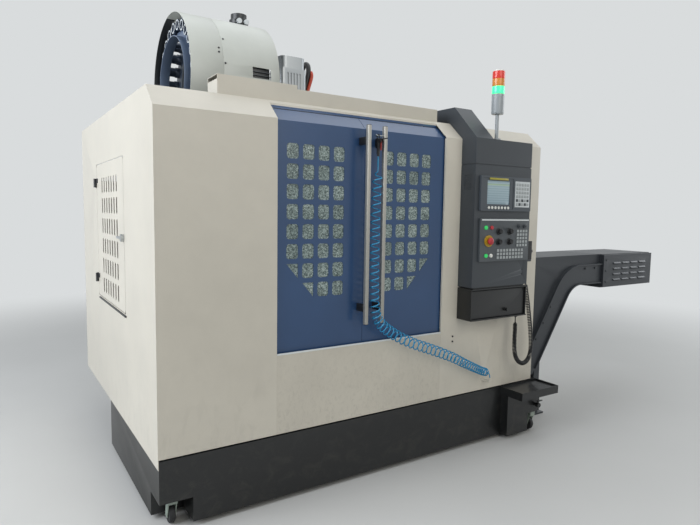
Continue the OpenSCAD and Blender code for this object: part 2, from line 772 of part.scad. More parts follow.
module side_latch() color("#1d1e20") {
    y = latch_y();
    z = latch_z();
    rod_x(-10, side_door_t + 3, y, z, latch_d);
    rod_x(-16, -slide_gap, y, z, 40);
    translate([-16, y, z]) rotate([90, 0, 90]) linear_extrude(6) translate([55, 0]) rounded(120, 14, 6);
    block(side_door_t - 2, side_door_t + 2, y - 44, y + 8, z - 9, z + 9);
}

module front_sill() color("#c9c4b6") {
    x0 = left_panel_w;
    x1 = opening_x1;
    block(x0, x1, 0, sheet_t, skirt_z, sill_z + 15);
    block(x0, x1, sheet_t, 12, sill_z - sheet_t, sill_z);
    block(x0, x1, sheet_t, 22, skirt_z, skirt_z + sheet_t);
    track_x0 = door_seam - seam_gap / 2 - (seam_x + door_overlap) - door_travel - 4;
    track_x1 = opening_x1 + door_overlap + door_travel + 4;
    block(track_x0, track_x1, 12, 60, sill_z - sheet_t, sill_z);
    block(track_x0, track_x1, 57, 60, sill_z, sill_z + 22);
    block(track_x0, track_x1, door_recess + 10, door_recess + 14, sill_z - 1, sill_z + 10);
}

module right_cabinet() color("#c9c4b6") {
    x0 = opening_x1;
    x1 = enclosure_w - sheet_t;
    slab_x(x0, x1, band_sheet(0, skirt_z, bend_z, band_back, band_rise, sheet_t));
    block(x0, x1, band_back, band_back + 20, top_z - sheet_t, top_z);
    block(x0, x1, sheet_t, 22, skirt_z, skirt_z + sheet_t);
    block(x0, x0 + sheet_t, sheet_t, door_recess - 6, sill_z + 16, bend_z - 8);
    difference() {
        wall_plate(x1, skirt_z);
        block(x1 - 1, x1 + sheet_t + 1, conveyor_y0 - 4, conveyor_y1 + 4, trough_z0 - 6, trough_z0 + trough_h + 16);
    }
    block(1740, x1, enclosure_d - sheet_t, enclosure_d, wall_z, 1700);
    block(enclosure_w - 460, x1, band_back + 20, enclosure_d - sheet_t, top_z - sheet_t, top_z);
    color("#b9bcbf") {
        rod_y(outlet_x, -60, 1, outlet_z, 18);
        rod_z(outlet_x, -60, outlet_z, outlet_z + 26, 14);
        rod_y(outlet_x, -8, 0.5, outlet_z, 34);
    }
}

module top_cover() color("#bdb9ae") {
    x0 = magazine_x - 66;
    x1 = opening_x1 + 34;
    step_x = x0 + 430;
    y0 = band_back + 12;
    y1 = y0 + 136;
    high = top_z + 95;
    for (part = [[x0, step_x, high], [step_x, x1, high - 20]]) {
        block(part[0], part[1], y0, y0 + sheet_t, top_z, part[2]);
        block(part[0], part[1], y0, y1, part[2] - sheet_t, part[2]);
        block(part[0], part[1], y1 - sheet_t, y1, top_z - 80, part[2]);
    }
    for (x = [x0, x1 - sheet_t]) block(x, x + sheet_t, y0, y1, top_z, high - 22);
    lip_y = band_back - 18;
    lip_z = top_z - 18 * band_rise / band_back;
    slab_x(left_panel_w, opening_x1, [[lip_y, lip_z], [band_back, top_z], [y0 + 1, top_z],
        [y0 + 1, top_z - sheet_t], [band_back + 1, top_z - sheet_t], [lip_y + 2, lip_z - 3]]);
}

module work_tray() color("#8d9194") {
    x0 = compartment_w;
    x1 = enclosure_w - 460;
    y0 = 60 - sheet_t;
    y1 = column_y - 8;
    floor_z = bed_z - 30;
    bed_x0 = spindle_x - bed_w / 2 - 2;
    bed_x1 = spindle_x + bed_w / 2 + 2;
    difference() {
        block(x0, x1, y0, y1, floor_z - sheet_t, floor_z);
        block(bed_x0, bed_x1, bed_y0 - 2, y1 + 1, floor_z - 10, floor_z + 10);
        block(trough_x0 + 20, enclosure_w - 240, conveyor_y0 + 40, conveyor_y1 - 30, floor_z - 10, floor_z + 10);
    }
    block(x0, x0 + sheet_t, band_back + 30, y1, floor_z, top_z - sheet_t);
    block(x1 - sheet_t, x1, band_back + 30, y1, floor_z, top_z - sheet_t);
    block(x0, x1, y0, y0 + sheet_t, floor_z, sill_z - sheet_t);
    difference() {
        union() {
            block(x0 + sheet_t, spindle_x - column_w / 2 - 8, y1 - sheet_t, y1, floor_z, nose_z - 120);
            block(spindle_x + column_w / 2 + 8, x1 - sheet_t, y1 - sheet_t, y1, floor_z, top_z - 120);
        }
        block(bed_x0, bed_x1, y1 - sheet_t - 1, y1 + 1, floor_z - 1, bed_z + slide_gap);
    }
    for (s = [-1, 1]) block(spindle_x + s * (bed_w / 2 + 2) - 2, spindle_x + s * (bed_w / 2 + 2) + 2,
        bed_y0, y1, floor_z, floor_z + 18);
}

module electrical_cabinet() color("#d0ccbf") {
    x0 = spindle_x - cabinet_w / 2;
    x1 = spindle_x + cabinet_w / 2;
    difference() {
        union() {
            block(x0, x1, cabinet_y0, rear_y - 14, 480, 2020);
            for (s = [0, 1]) block(x0 + 8 + s * cabinet_w / 2, x0 + s * cabinet_w / 2 + cabinet_w / 2 - 8,
                rear_y - 15, rear_y, 500, 2000);
            for (x = [x0 + 30, x1 - 90]) block(x, x + 60, cabinet_y0 + 20, cabinet_y0 + 80, 0, 481);
            block(x0 + 30, x1 - 30, cabinet_y0 + 20, cabinet_y0 + 80, 60, 120);
        }
        for (s = [0, 1], k = [0 : 5]) translate([x0 + cabinet_w * (0.25 + s * 0.5), rear_y + 1, 620 + k * 34])
            rotate([90, 0, 0]) linear_extrude(10) rounded(200, 14, 6);
    }
}

module console_body() color("#45494f") difference() {
    union() {
        block(console_x, console_x1, panel_y, 0, console_z, console_top_z);
        block(console_x1 - 1, pendant_x, panel_y + 14, panel_y + 74, 1196, 1506);
        block(pendant_x - 1, pendant_x + 46, panel_y + 14, panel_y + 74, 1196, pendant_z - slide_gap);
    }
    for (z = [console_z + 66, console_z + 96]) rod_y(console_x1 - 52, panel_y - 1, panel_y + 4, z, 9);
    for (k = [0 : 7]) block(console_x - 1, console_x + 3, panel_y + 30, -30, 1640 + k * 12, 1645 + k * 12);
    rod_z(pendant_x + 24, panel_y + 44, 1180, pendant_z, 22);
}

module console_hood() color("#3a3e43") {
    slab_x(console_x, console_x + duct_w, [[panel_y, console_top_z + 6], [0, console_top_z + 6], [0, bend_z],
        [band_back, top_z], [duct_l, top_z], [duct_l, top_z + duct_h], [band_back - 40, top_z + duct_h],
        [panel_y, hood_z]]);
    block(console_x + duct_w - 1, console_x1, panel_y, 0, console_top_z + 6, hood_z);
    block(console_x + 4, console_x1 - 4, panel_y + 4, 0, console_top_z, console_top_z + 6);
}

module storage_box() color("#3a3e43") {
    z1 = box_z + box_h;
    difference() {
        block(console_x, console_x1, panel_y, 0, box_z, z1);
        block(console_x + box_wall, console_x1 - box_wall, panel_y - 1, -box_wall, box_z + box_wall, z1 - box_wall);
        for (x = [console_x - 1, console_x1 - box_wall - 1])
            rod_x(x, x + box_wall + 2, flap_y(), flap_z(), hinge_pin_d + 2 * run_fit);
    }
    block(console_x + 20, console_x1 - 20, panel_y + 10, -10, z1 - 1, console_z);
    color("#8d9194") for (z = [box_z, z1 - 8])
        block(console_x, console_x1, panel_y - 6, panel_y, z, z + 8);
    rod_z(cord_exit()[0], cord_exit()[1], box_z - 16, box_z + 1, 24);
}

function flap_y() = panel_y + 14;
function flap_z() = box_z + box_h - box_wall - 11;
function cord_exit() = [console_x1 - 34, panel_y + 50, box_z - 16];

module storage_flap() color("#2c2f33") {
    x0 = console_x + box_wall + 1;
    x1 = console_x1 - box_wall - 1;
    block(x0, x1, flap_y() - 3, flap_y() + 3, box_z + box_wall + 3, flap_z());
    rod_x(console_x + 1, console_x1 - 1, flap_y(), flap_z(), hinge_pin_d);
    rod_y(console_x + console_w * 0.64, flap_y() - 24, flap_y() - 10, box_z + 50, 22);
    rod_y(console_x + console_w * 0.64, flap_y() - 12, flap_y() - 2, box_z + 50, 10);
}

// Grid of keys: columns by rows of w x h caps, its lower left cap's corner at x, z
module key_grid(x, z, cols, rows, w, h, pitch_x, pitch_z) {
    for (i = [0 : cols - 1], k = [0 : rows - 1])
        block(x + i * pitch_x, x + i * pitch_x + w, panel_y - panel_t - key_rise, panel_y - panel_t + 1,
            z + k * pitch_z, z + k * pitch_z + h);
}

module display_unit() color("#8f9291") {
    x0 = console_x + 36;
    x1 = console_x1 - 12;
    z0 = display_z;
    z1 = display_z + display_h;
    y0 = panel_y - panel_t;
    screen_x = x0 + 56;
    screen_z = z0 + 40;
    screen_w = 196;
    screen_h = 142;
    pad_x = x0 + 296;
    pad_w = 134;
    rim = 5;
    difference() {
        union() {
            block(x0, x1, y0 + 2, panel_y, z0, z1);
            translate([(x0 + x1) / 2, y0 + 3, (z0 + z1) / 2]) rotate([90, 0, 0]) linear_extrude(5)
                rounded(x1 - x0, z1 - z0, 8);
        }
        translate([(x0 + pad_x - 8) / 2 + rim, y0 + 1, (z0 + z1) / 2]) rotate([90, 0, 0]) linear_extrude(5)
            rounded(pad_x - 8 - x0 - 4 * rim, z1 - z0 - 4 * rim, 8);
        block(screen_x, screen_x + screen_w, y0, y0 + 5, screen_z, screen_z + screen_h);
    }
    color("#30444f") block(screen_x + 1, screen_x + screen_w - 1, y0 + 4, y0 + 6, screen_z + 1, screen_z + screen_h - 1);
    color("#e8e8e2") {
        for (i = [0 : 6]) rod_y(screen_x + 16 + i * 28, y0 - 2, y0 + 2, z0 + 20, 17);
        key_grid(pad_x + 10, z0 + 34, 5, 3, 18, 14, 24, 19);
    }
    color("#c9cbc8") block(pad_x, pad_x + pad_w, y0 - 3, y0 + 1, z0 + 26, z1 - 24);
}

// Places of the knobs and buttons, measured on the console
function feed_at() = [console_x + 201, 1394];
function rapid_at() = [console_x + 297, 1394];
function speed_at() = [console_x + 201, 1330];
function mode_at() = [console_x + 297, 1330];
function on_at() = [console_x + 89, 1417];
function off_at() = [console_x + 138, 1417];
function start_at() = [console_x + 96, 1247];
function hold_at() = [console_x + 138, 1247];
function stop_at() = [console_x + 115, 1336];
function selector_places() = [[console_x + 378, 1425], [console_x + 430, 1425]];

module operator_panel() color("#17181a") {
    x0 = console_x + 43;
    x1 = console_x1 - 12;
    z0 = keys_z;
    z1 = keys_z + keys_h;
    y0 = panel_y - panel_t;
    difference() {
        union() {
            translate([(x0 + x1) / 2, panel_y, (z0 + z1) / 2]) rotate([90, 0, 0]) linear_extrude(panel_t)
                rounded(x1 - x0, z1 - z0, 6);
            color("#d8b21c") rod_y(stop_at()[0], y0 - 6, y0 + 1, stop_at()[1], stop_d + 26);
        }
        for (p = [on_at(), off_at(), start_at(), hold_at()])
            rod_y(p[0], y0 - 1, panel_y - 1, p[1], button_d + 2 * slide_gap);
        for (p = [feed_at(), rapid_at(), speed_at(), mode_at()])
            rod_y(p[0], y0 - 1, panel_y - 1, p[1], hinge_pin_d + 2 * run_fit);
        rod_y(stop_at()[0], y0 - 7, panel_y - 1, stop_at()[1], button_d + 2 * slide_gap);
    }
    color("#d8d8d2") {
        key_grid(x1 - 118, z0 + 88, 4, 5, 20, 16, 26, 22);
        key_grid(x1 - 292, z0 + 14, 9, 3, 21, 16, 27, 22);
        block(x0 + 8, x1 - 8, y0 - 2, y0 + 1, z1 - 14, z1 - 6);
    }
    for (p = selector_places()) {
        color("#8d9194") rod_y(p[0], y0 - 10, y0 + 1, p[1], 24);
        rod_y(p[0], y0 - 16, y0 - 9, p[1], 12);
    }
}

// Turned knob: skirt, fluted grip, pointer groove and shaft
module knob(place, tint) {
    y0 = panel_y - panel_t;
    grip_r = knob_d * 0.36;
    flutes = 12;
    color(tint) translate([place[0], y0, place[1]]) rotate([90, 0, 0]) difference() {
        rotate_extrude() polygon([[0, -9], [hinge_pin_d / 2, -9], [hinge_pin_d / 2, slide_gap],
            [knob_d / 2, slide_gap], [knob_d / 2, 3], [knob_d / 2 - 3, 6], [grip_r, 6], [grip_r, 22],
            [grip_r - 2, 24], [0, 24]]);
        for (k = [0 : flutes - 1]) rotate([0, 0, (k + 0.5) * 360 / flutes])
            translate([grip_r + 1.2, 0, 7]) cylinder(h = 18, d = 5);
        translate([-1.5, 0, 21]) cube([3, knob_d, 4]);
    }
}

module button(place, tint) {
    y0 = panel_y - panel_t;
    foot = panel_t - 2 - button_travel;
    color(tint) translate([place[0], y0, place[1]]) rotate([90, 0, 0]) rotate_extrude()
        polygon([[0, -foot], [button_d / 2, -foot], [button_d / 2, 6], [button_d / 2 - 2, 8], [0, 8]]);
}

module feed_knob() knob(feed_at(), "#141415");
module rapid_knob() knob(rapid_at(), "#141415");
module speed_knob() knob(speed_at(), "#141415");
module mode_knob() knob(mode_at(), "#141415");
module power_on() button(on_at(), "#2fae52");
module power_off() button(off_at(), "#c0261e");
module cycle_start() button(start_at(), "#39c463");
module feed_hold() button(hold_at(), "#e6e6e0");

module emergency_stop() color("#c8201a") {
    y0 = panel_y - panel_t;
    rod_y(stop_at()[0], y0 - 16, panel_y - 2 - button_travel, stop_at()[1], button_d);
    translate([stop_at()[0], y0 - 14, stop_at()[1]]) rotate([90, 0, 0]) rotate_extrude()
        polygon([[0, 0], [stop_d / 2 - 3, 0], [stop_d / 2, 4], [stop_d / 2, 9], [stop_d / 2 - 6, 15], [0, 17]]);
}

// Lamp or housing of the tower: a turned cup with a groove at its foot
module lamp_cup(z, h) {
    r = lamp_d / 2;
    groove = 2;
    translate([tower_x, tower_y, z]) rotate_extrude() polygon([[0, 0], [r - groove, 0], [r - groove, 3],
        [r, 3 + groove], [r, h], [0, h]]);
}

module signal_tower() {
    housing_h = 120;
    cap_h = 9;
    color("#b8bcc0") {
        rod_z(tower_x, tower_y, hood_z, hood_z + 14, 54);
        rod_z(tower_x, tower_y, hood_z + 13, lamp_z - housing_h + 1, 22);
    }
    color("#8d9497") lamp_cup(lamp_z - housing_h, housing_h + 0.5);
    color("#2fd17a") lamp_cup(lamp_z, lamp_h + 0.5);
    color("#e08a2c") lamp_cup(lamp_z + lamp_h, lamp_h + 0.5);
    color("#d8302a") lamp_cup(lamp_z + 2 * lamp_h, lamp_h + 0.5);
    color("#e8e8e2") translate([tower_x, tower_y, lamp_z + 3 * lamp_h]) rotate_extrude()
        polygon([[0, 0], [lamp_d / 2 - 2, 0], [lamp_d / 2 - 2, cap_h - 4], [lamp_d / 2 - 8, cap_h], [0, cap_h]]);
}

// Everything on the magazine is drawn round its axis, which runs along x
module on_magazine_axis() {
    translate([0, magazine_y, magazine_z]) rotate([90, 0, 90]) children();
}

module magazine_cover() color("#d5d8d0") difference() {
    on_magazine_axis() translate([0, 0, magazine_x]) rotate([0, 0, cover_from])
        rotate_extrude(angle = cover_to - cover_from) translate([cover_in_r, 0]) square([sheet_t, cover_l]);
    block(magazine_x + 430, magazine_x + 530, magazine_y - cover_r - 20, magazine_y - 200,
        magazine_z - 52, magazine_z + 26);
    on_magazine_axis() translate([0, 0, magazine_x + 189]) rotate_extrude()
        translate([cover_r - 1, 0]) square([2, 3]);
}

module magazine_frame() {
    gear_x0 = ring_x + ring_t;
    gear_x1 = spindle_x - head_w / 2 - 45;
    tower_y0 = magazine_y + 150;
    tower_y1 = z_rail_y - 20;
    motor_x = gear_x1 + 5;
    motor_y = tower_y0 + 50;
    color("#6b7074") difference() {
        union() {
            on_magazine_axis() translate([0, 0, ring_x]) difference() {
                cylinder(h = ring_t, r = pot_ring_r + 40, $fn = 96);
                translate([0, 0, -1]) cylinder(h = ring_t + 2, r = disc_in_r - 12, $fn = 96);
            }
            on_magazine_axis() translate([0, 0, disc_x + 1]) difference() {
                cylinder(h = ring_x - disc_x, r = disc_in_r - run_fit, $fn = 96);
                translate([0, 0, -1]) cylinder(h = ring_x - disc_x + 2, r = disc_in_r - 12, $fn = 96);
            }
            for (a = [cover_from + 5 : (cover_to - cover_from - 26) / 3 : cover_to - 20]) on_magazine_axis() rotate([0, 0, a])
                translate([disc_in_r + 60, -15, ring_x]) cube([cover_in_r - slide_gap - disc_in_r - 60, 30, ring_t]);
            block(ring_x, gear_x0, magazine_y - 90, magazine_y + 90, gearbox_z, magazine_z - disc_in_r - 40);
            block(gear_x0 - 1, gear_x1, arm_y - 80, magazine_y + 130, gearbox_z, magazine_z - cover_r + 30);
            block(gear_x1 - 170, gear_x1, tower_y0 - 30, tower_y1, gearbox_z + 120, magazine_z + 260);
            block(gear_x1 - 1, motor_x + 82, tower_y0 - 30, motor_y + 82, magazine_z + 232, magazine_z + 260);
            block(gear_x1 - 58, gear_x1, tower_y1 - 1, column_y, magazine_z - 300, column_z - 30);
            block(gear_x0 - 1, gear_x1 - 100, tower_y0 - 30, tower_y0 + 50, magazine_z - 330, magazine_z - 300);
        }
        rod_z(arm_x, arm_y, gearbox_z - 1, gearbox_z + 60, 60 + 2 * run_fit);
    }
    color("#1f2123") {
        rod_z(motor_x, motor_y, magazine_z + 259, magazine_z + 300, 150);
        rod_z(motor_x, motor_y, magazine_z + 299, magazine_z + 520, 132);
        rod_z(motor_x, motor_y, magazine_z + 519, magazine_z + 560, 110);
    }
    color("#d8d8d2") for (s = [-1, 1])
        rod_y(motor_x + s * 26, motor_y - 84, motor_y - 30, magazine_z + 500, 34);
}

module magazine_disc() {
    color("#3c4a5e") on_magazine_axis() difference() {
        translate([0, 0, disc_x]) cylinder(h = disc_t, r = pot_ring_r + 24, $fn = 96);
        translate([0, 0, disc_x - 1]) cylinder(h = disc_t + 2, r = disc_in_r, $fn = 96);
    }
    color("#37465c") on_magazine_axis() for (i = [0 : pot_count - 1])
        rotate([0, 0, (i + 0.5) * 360 / pot_count]) translate([pot_ring_r, 0, disc_x - pot_l]) tool_pot();
}

// Turned pot with a waist between its two collars, open at the mouth, and its clip
module tool_pot() {
    r = pot_d / 2;
    bore = pot_bore_d / 2;
    rotate_extrude($fn = 24) polygon([[bore + 3, 0], [r - 2, 0], [r, 2], [r, 16], [r - 4, 20], [r - 4, pot_l - 26],
        [r, pot_l - 22], [r, pot_l + 1], [0, pot_l + 1], [0, pot_l - 22], [bore * 0.55, pot_l - 22], [bore, 6]]);
    translate([r - 6, -9, 26]) cube([20, 18, 26]);
}

module changer_arm() color("#a9adb0") {
    rod_z(arm_x, arm_y, arm_top_z - arm_t - 12, gearbox_z + 40, 60);
    translate([arm_x, arm_y, arm_top_z - arm_t]) rotate([0, 0, arm_line - 90]) difference() {
        union() {
            linear_extrude(arm_t) polygon([[-arm_reach - 38, -28], [-60, -48], [60, -48], [arm_reach + 38, -28],
                [arm_reach + 38, 28], [60, 48], [-60, 48], [-arm_reach - 38, 28]]);
            for (s = [-1, 1]) translate([s * arm_reach, 0, 0]) cylinder(h = arm_t, d = 96);
        }
        for (s = [-1, 1]) {
            translate([s * arm_reach, 0, -1]) cylinder(h = arm_t + 2, d = 64);
            translate([s * arm_reach - 26, -60, -1]) cube([52, 60, arm_t + 2]);
        }
    }
}

module saddle() color("#5b6166") {
    x0 = spindle_x - saddle_l / 2;
    x1 = spindle_x + saddle_l / 2;
    y0 = spindle_y - saddle_d / 2;
    difference() {
        union() {
            block(x0, x1, y0, y0 + saddle_d, saddle_low_z, saddle_top_z);
            for (s = [-1, 1]) block(x0, x1, spindle_y + s * 140 - rail_w / 2, spindle_y + s * 140 + rail_w / 2,
                saddle_top_z - 1, x_rail_top_z);
            block(spindle_x - 35, spindle_x + 35, spindle_y - 45, spindle_y + 45, y_screw_z - 30, saddle_low_z + 1);
        }
        block(x0 - 1, x1 + 1, spindle_y - 62, spindle_y + 62, x_screw_z - 36, saddle_top_z + 1);
        rod_y(spindle_x, y0 - 1, y0 + saddle_d + 1, y_screw_z, screw_d + 2 * run_fit);
    }
    for (x = [x0, x1 - 30]) difference() {
        block(x, x + 30, spindle_y - 50, spindle_y + 50, x_screw_z - 37, x_screw_z + 34);
        rod_x(x - 1, x + 31, spindle_y, x_screw_z, screw_d + 2 * run_fit);
    }
    color("#26282b") block(x1, x1 + x_motor_l, spindle_y - x_motor_w / 2, spindle_y + x_motor_w / 2,
        x_screw_z - x_motor_w / 2, x_screw_z + x_motor_w / 2);
}

module table() color("#a7abae") {
    x0 = spindle_x - table_l / 2;
    x1 = spindle_x + table_l / 2;
    y0 = spindle_y - table_d / 2;
    difference() {
        union() {
            block(x0, x1, y0, y0 + table_d, table_low_z, table_z);
            block(spindle_x - 35, spindle_x + 35, spindle_y - 40, spindle_y + 40, x_screw_z - 28, table_low_z + 1);
        }
        for (i = [0 : slot_count - 1]) {
            y = spindle_y + (i - (slot_count - 1) / 2) * slot_pitch;
            block(x0 - 1, x1 + 1, y - slot_w / 2, y + slot_w / 2, table_z - 34, table_z + 1);
            block(x0 - 1, x1 + 1, y - slot_foot_w / 2, y + slot_foot_w / 2, table_z - 34, table_z - 20);
        }
        rod_x(spindle_x - 36, spindle_x + 36, spindle_y, x_screw_z, screw_d + 2 * run_fit);
    }
}

module spindle_head() color("#d5d8d0") {
    half = head_w / 2;
    difference() {
        union() {
            translate([0, 0, head_low]) linear_extrude(head_high - head_low) polygon([
                [spindle_x - half, head_y1], [spindle_x + half, head_y1], [spindle_x + half, spindle_y + 150],
                [spindle_x + 125, spindle_y - 110], [spindle_x - 125, spindle_y - 110],
                [spindle_x - half, spindle_y + 150]]);
            for (s = [-1, 1]) block(spindle_x + s * z_rail_x - 40, spindle_x + s * z_rail_x + 40,
                head_y1 - 46, head_y1, head_low, head_high);
            rod_z(spindle_x, spindle_y, nose_z + nose_l, head_low + 1, quill_d);
            rod_z(spindle_x, spindle_y, head_low - 16, head_low + 1, quill_d + 44);
            for (a = [200, 270, 340]) translate([spindle_x, spindle_y, head_low - 70]) rotate([0, 0, a])
                translate([quill_d / 2 + 12, 0, 0]) cylinder(h = 56, d1 = 8, d2 = 20);
            block(spindle_x - 45, spindle_x + 45, head_y1 - 1, column_y + 36, z_nut_z, z_nut_z + 80);
        }
        rod_z(spindle_x, spindle_y, nose_z - 1, head_low + 200, nose_d - 34 + 2 * run_fit);
        rod_z(spindle_x, column_y, z_nut_z - 1, z_nut_z + 81, screw_d + 2 * run_fit);
    }
}

module spindle() color("#9a9ea2") difference() {
    union() {
        rod_z(spindle_x, spindle_y, nose_z, nose_z + nose_l - slide_gap, nose_d);
        rod_z(spindle_x, spindle_y, nose_z + nose_l - 1, head_low + 190, nose_d - 34);
    }
    translate([spindle_x, spindle_y, nose_z - 0.01]) cylinder(h = 66, d1 = 44.45, d2 = 25.2);
    rod_z(spindle_x, spindle_y, nose_z + 60, nose_z + 200, 25);
    for (s = [-1, 1]) block(spindle_x + s * 38 - 14, spindle_x + s * 38 + 14, spindle_y - 8, spindle_y + 8,
        nose_z - 1, nose_z + 8);
}

module spindle_motor() {
    z0 = head_high;
    color("#b9bdc0") difference() {
        union() {
            block(spindle_x - motor_w / 2 - 15, spindle_x + motor_w / 2 + 15, spindle_y - motor_w / 2 - 15,
                spindle_y + motor_w / 2 + 15, z0, z0 + 24);
            translate([spindle_x, spindle_y, z0 + 23]) linear_extrude(motor_h - 100)
                rounded(motor_w, motor_w, 24);
        }
        for (a = [0 : 90 : 270], k = [-2 : 2]) translate([spindle_x, spindle_y, z0 + 60]) rotate([0, 0, a])
            translate([motor_w / 2 - 5, k * 22 - 5, 0]) cube([10, 10, motor_h - 170]);
    }
    color("#2b2d30") translate([spindle_x, spindle_y, z0 + motor_h - 78]) linear_extrude(78)
        rounded(motor_w - 8, motor_w - 8, 40);
}

// Conduit and coolant hose that leave the head beside the motor, loop up and come back to it
module head_hoses() {
    x = spindle_x + motor_w / 2 + 33;
    y = spindle_y + 110;
    for (h = [[60, 34, 430, "#1b1c1e"], [25, 24, 380, "#c8452c"]]) color(h[3]) {
        bend_top_z = head_high + h[2] - h[0];
        for (s = [-1, 1]) rod_z(x, y + s * h[0], head_high, bend_top_z, h[1]);
        translate([x, y, bend_top_z]) rotate([90, 0, -90])
            rotate_extrude(angle = 180) translate([h[0], 0]) circle(d = h[1]);
    }
}

module screw_x() color("#b4b8bb") {
    x0 = spindle_x - saddle_l / 2;
    rod_x(x0 + 1, x0 + saddle_l - 1, spindle_y, x_screw_z, screw_d);
}

module screw_y() color("#b4b8bb") rod_y(spindle_x, bed_y0 + 62, column_y - 134, y_screw_z, screw_d);

module screw_z() color("#b4b8bb") rod_z(spindle_x, column_y, z_rail_low + 1, column_z - 12, screw_d);

// Accordion sleeve, its folds worked out from the space between its two ends
module head_bellows() color("#232527") {
    z0 = z_rail_low;
    pitch = (head_low - slide_gap - z0) / bellow_folds;
    y_back = z_rail_y - 6;
    front = [for (i = [0 : 2 * bellow_folds]) [y_back - 26 - (i % 2) * 26, z0 + i * pitch / 2]];
    back = [for (i = [2 * bellow_folds : -1 : 0]) [y_back - 4 - (i % 2) * 26, z0 + i * pitch / 2]];
    slab_x(spindle_x - bellows_x, spindle_x + bellows_x, concat(front, back));
}

// True where the door's lower outer corner has no hole, cut on the diagonal
function window_kind(i, k) = i + (window_rows - 1 - k) < 1 ? "none"
    : i + (window_rows - 1 - k) == 1 ? "half" : "full";

// Window holes of one door, column 0 the outer one; s is -1 for the left door
module window_holes(s) {
    for (i = [0 : window_cols - 1], k = [0 : window_rows - 1]) {
        x = door_seam + s * (window_seam + (window_cols - 1 - i) * window_pitch_x);
        z = window_top_z - k * window_pitch_z;
        kind = window_kind(i, k);
        translate([x, door_recess + sheet_t + 1, z]) rotate([90, 0, 0]) linear_extrude(sheet_t + 2)
            if (kind == "full") rounded(window_w, window_h, window_r);
            else if (kind == "half") polygon([[s * window_w / 2, window_h / 2],
                [-s * window_w / 2, window_h / 2], [-s * window_w / 2, -window_h / 2]]);
    }
}

module door_sheet(x0, x1, s) color("#33548a") {
    y = door_recess;
    difference() {
        slab_x(x0, x1, band_sheet(y, door_low_z, door_bend_z, door_band, door_top_z - door_bend_z, sheet_t));
        window_holes(s);
    }
    block(x0, x1, y + sheet_t - 0.5, y + 28, door_low_z, door_low_z + sheet_t);
    for (x = [x0, x1 - sheet_t]) block(x, x + sheet_t, y + sheet_t - 0.5, y + 22, door_low_z + 1, door_bend_z - 12);
}

module door_left() door_sheet(left_door_x0, left_door_x1, -1);
module door_right() door_sheet(right_door_x0, right_door_x1, 1);

module pane(s) color("#8fa39a", 0.5) {
    x_near = door_seam + s * (window_seam - window_w / 2 - 16);
    x_far = door_seam + s * (window_seam + (window_cols - 1) * window_pitch_x + window_w / 2 + 16);
    z0 = window_top_z - (window_rows - 1) * window_pitch_z - window_h / 2 - 16;
    z1 = window_top_z + window_h / 2 + 16;
    block(min(x_near, x_far), max(x_near, x_far), door_recess + sheet_t, door_recess + sheet_t + pane_t, z0, z1);
}

module pane_left() pane(-1);
module pane_right() pane(1);

// Square tube handle on two stand-offs
module handle(x) {
    y1 = -handle_gap;
    color("#d8d5c8") translate([x, y1 - handle_w / 2, handle_low_z])
        linear_extrude(handle_high_z - handle_low_z) rounded(handle_w, handle_w, 4);
    color("#2b2d30") for (z = [handle_low_z + 95, handle_high_z - 95])
        block(x - 12, x + 12, y1 - 0.5, door_recess, z, z + 24);
}

module handle_left() handle(door_seam - 4 - handle_w / 2);

module handle_right() {
    x = door_seam + handle_right_x;
    handle(x);
    color("#8d9194") {
        rod_x(gun_x - 14, x - handle_w / 2 + 1, gun_y, hook_z, hook_d);
        rod_x(gun_x - 16, gun_x - 13, gun_y, hook_z, hook_d + 8);
    }
}

// Blow gun that hangs by its eye from the hook on the right handle
module air_gun() {
    eye_z = hook_z + hook_d / 2 + slide_gap - eye_r;
    color("#17181a") difference() {
        union() {
            translate([gun_x, gun_y, eye_z]) rotate([0, 90, 0]) rotate_extrude()
                translate([eye_r + 2.5, 0]) circle(d = 5);
            translate([gun_x, gun_y, eye_z - 62]) linear_extrude(52) rounded(22, 30, 8);
            block(gun_x - 10, gun_x + 10, gun_y - 34, gun_y - 10, eye_z - 34, eye_z - 14);
            rod_z(gun_x, gun_y, eye_z - 92, eye_z - 61, 18);
        }
        block(gun_x - 4, gun_x + 4, gun_y - 30, gun_y - 12, eye_z - 70, eye_z - 34);
        rod_x(gun_x - 12, gun_x + 12, gun_y - 25, eye_z - 24, 4 + 2 * run_fit);
        block(gun_x - 4, gun_x + 4, gun_y - 35, gun_y - 15, eye_z - 35, eye_z - 18);
    }
    color("#b9bcbf") {
        rod_y(gun_x, gun_y - 78, gun_y - 33, eye_z - 17, 6);
        rod_z(gun_x, gun_y, eye_z - 104, eye_z - 91, 14);
    }
}

module gun_trigger() color("#b4372c") {
    eye_z = hook_z + hook_d / 2 + slide_gap - eye_r;
    rod_x(gun_x - 9, gun_x + 9, gun_y - 25, eye_z - 24, 4);
    block(gun_x - 3.4, gun_x + 3.4, gun_y - 28, gun_y - 22, eye_z - 74, eye_z - 23);
}

module pendant() color("#2a2c2f") difference() {
    union() {
        translate([pendant_x + 24, panel_y + 44, pendant_z]) linear_extrude(118) rounded(47.4, 72, 10);
        rod_z(pendant_x + 24, panel_y + 44, 1190, pendant_z + 1, 20);
    }
    rod_x(pendant_x + 38, pendant_x + 49, panel_y + 44, 1262, hinge_pin_d + 2 * run_fit);
}

module pendant_wheel() color("#c9ccce") {
    rod_x(pendant_x + 48, pendant_x + 57, panel_y + 44, 1262, 56);
    rod_x(pendant_x + 39, pendant_x + 49, panel_y + 44, 1262, hinge_pin_d);
    rod_x(pendant_x + 56, pendant_x + 68, panel_y + 44 - 18, 1262, 10);
}

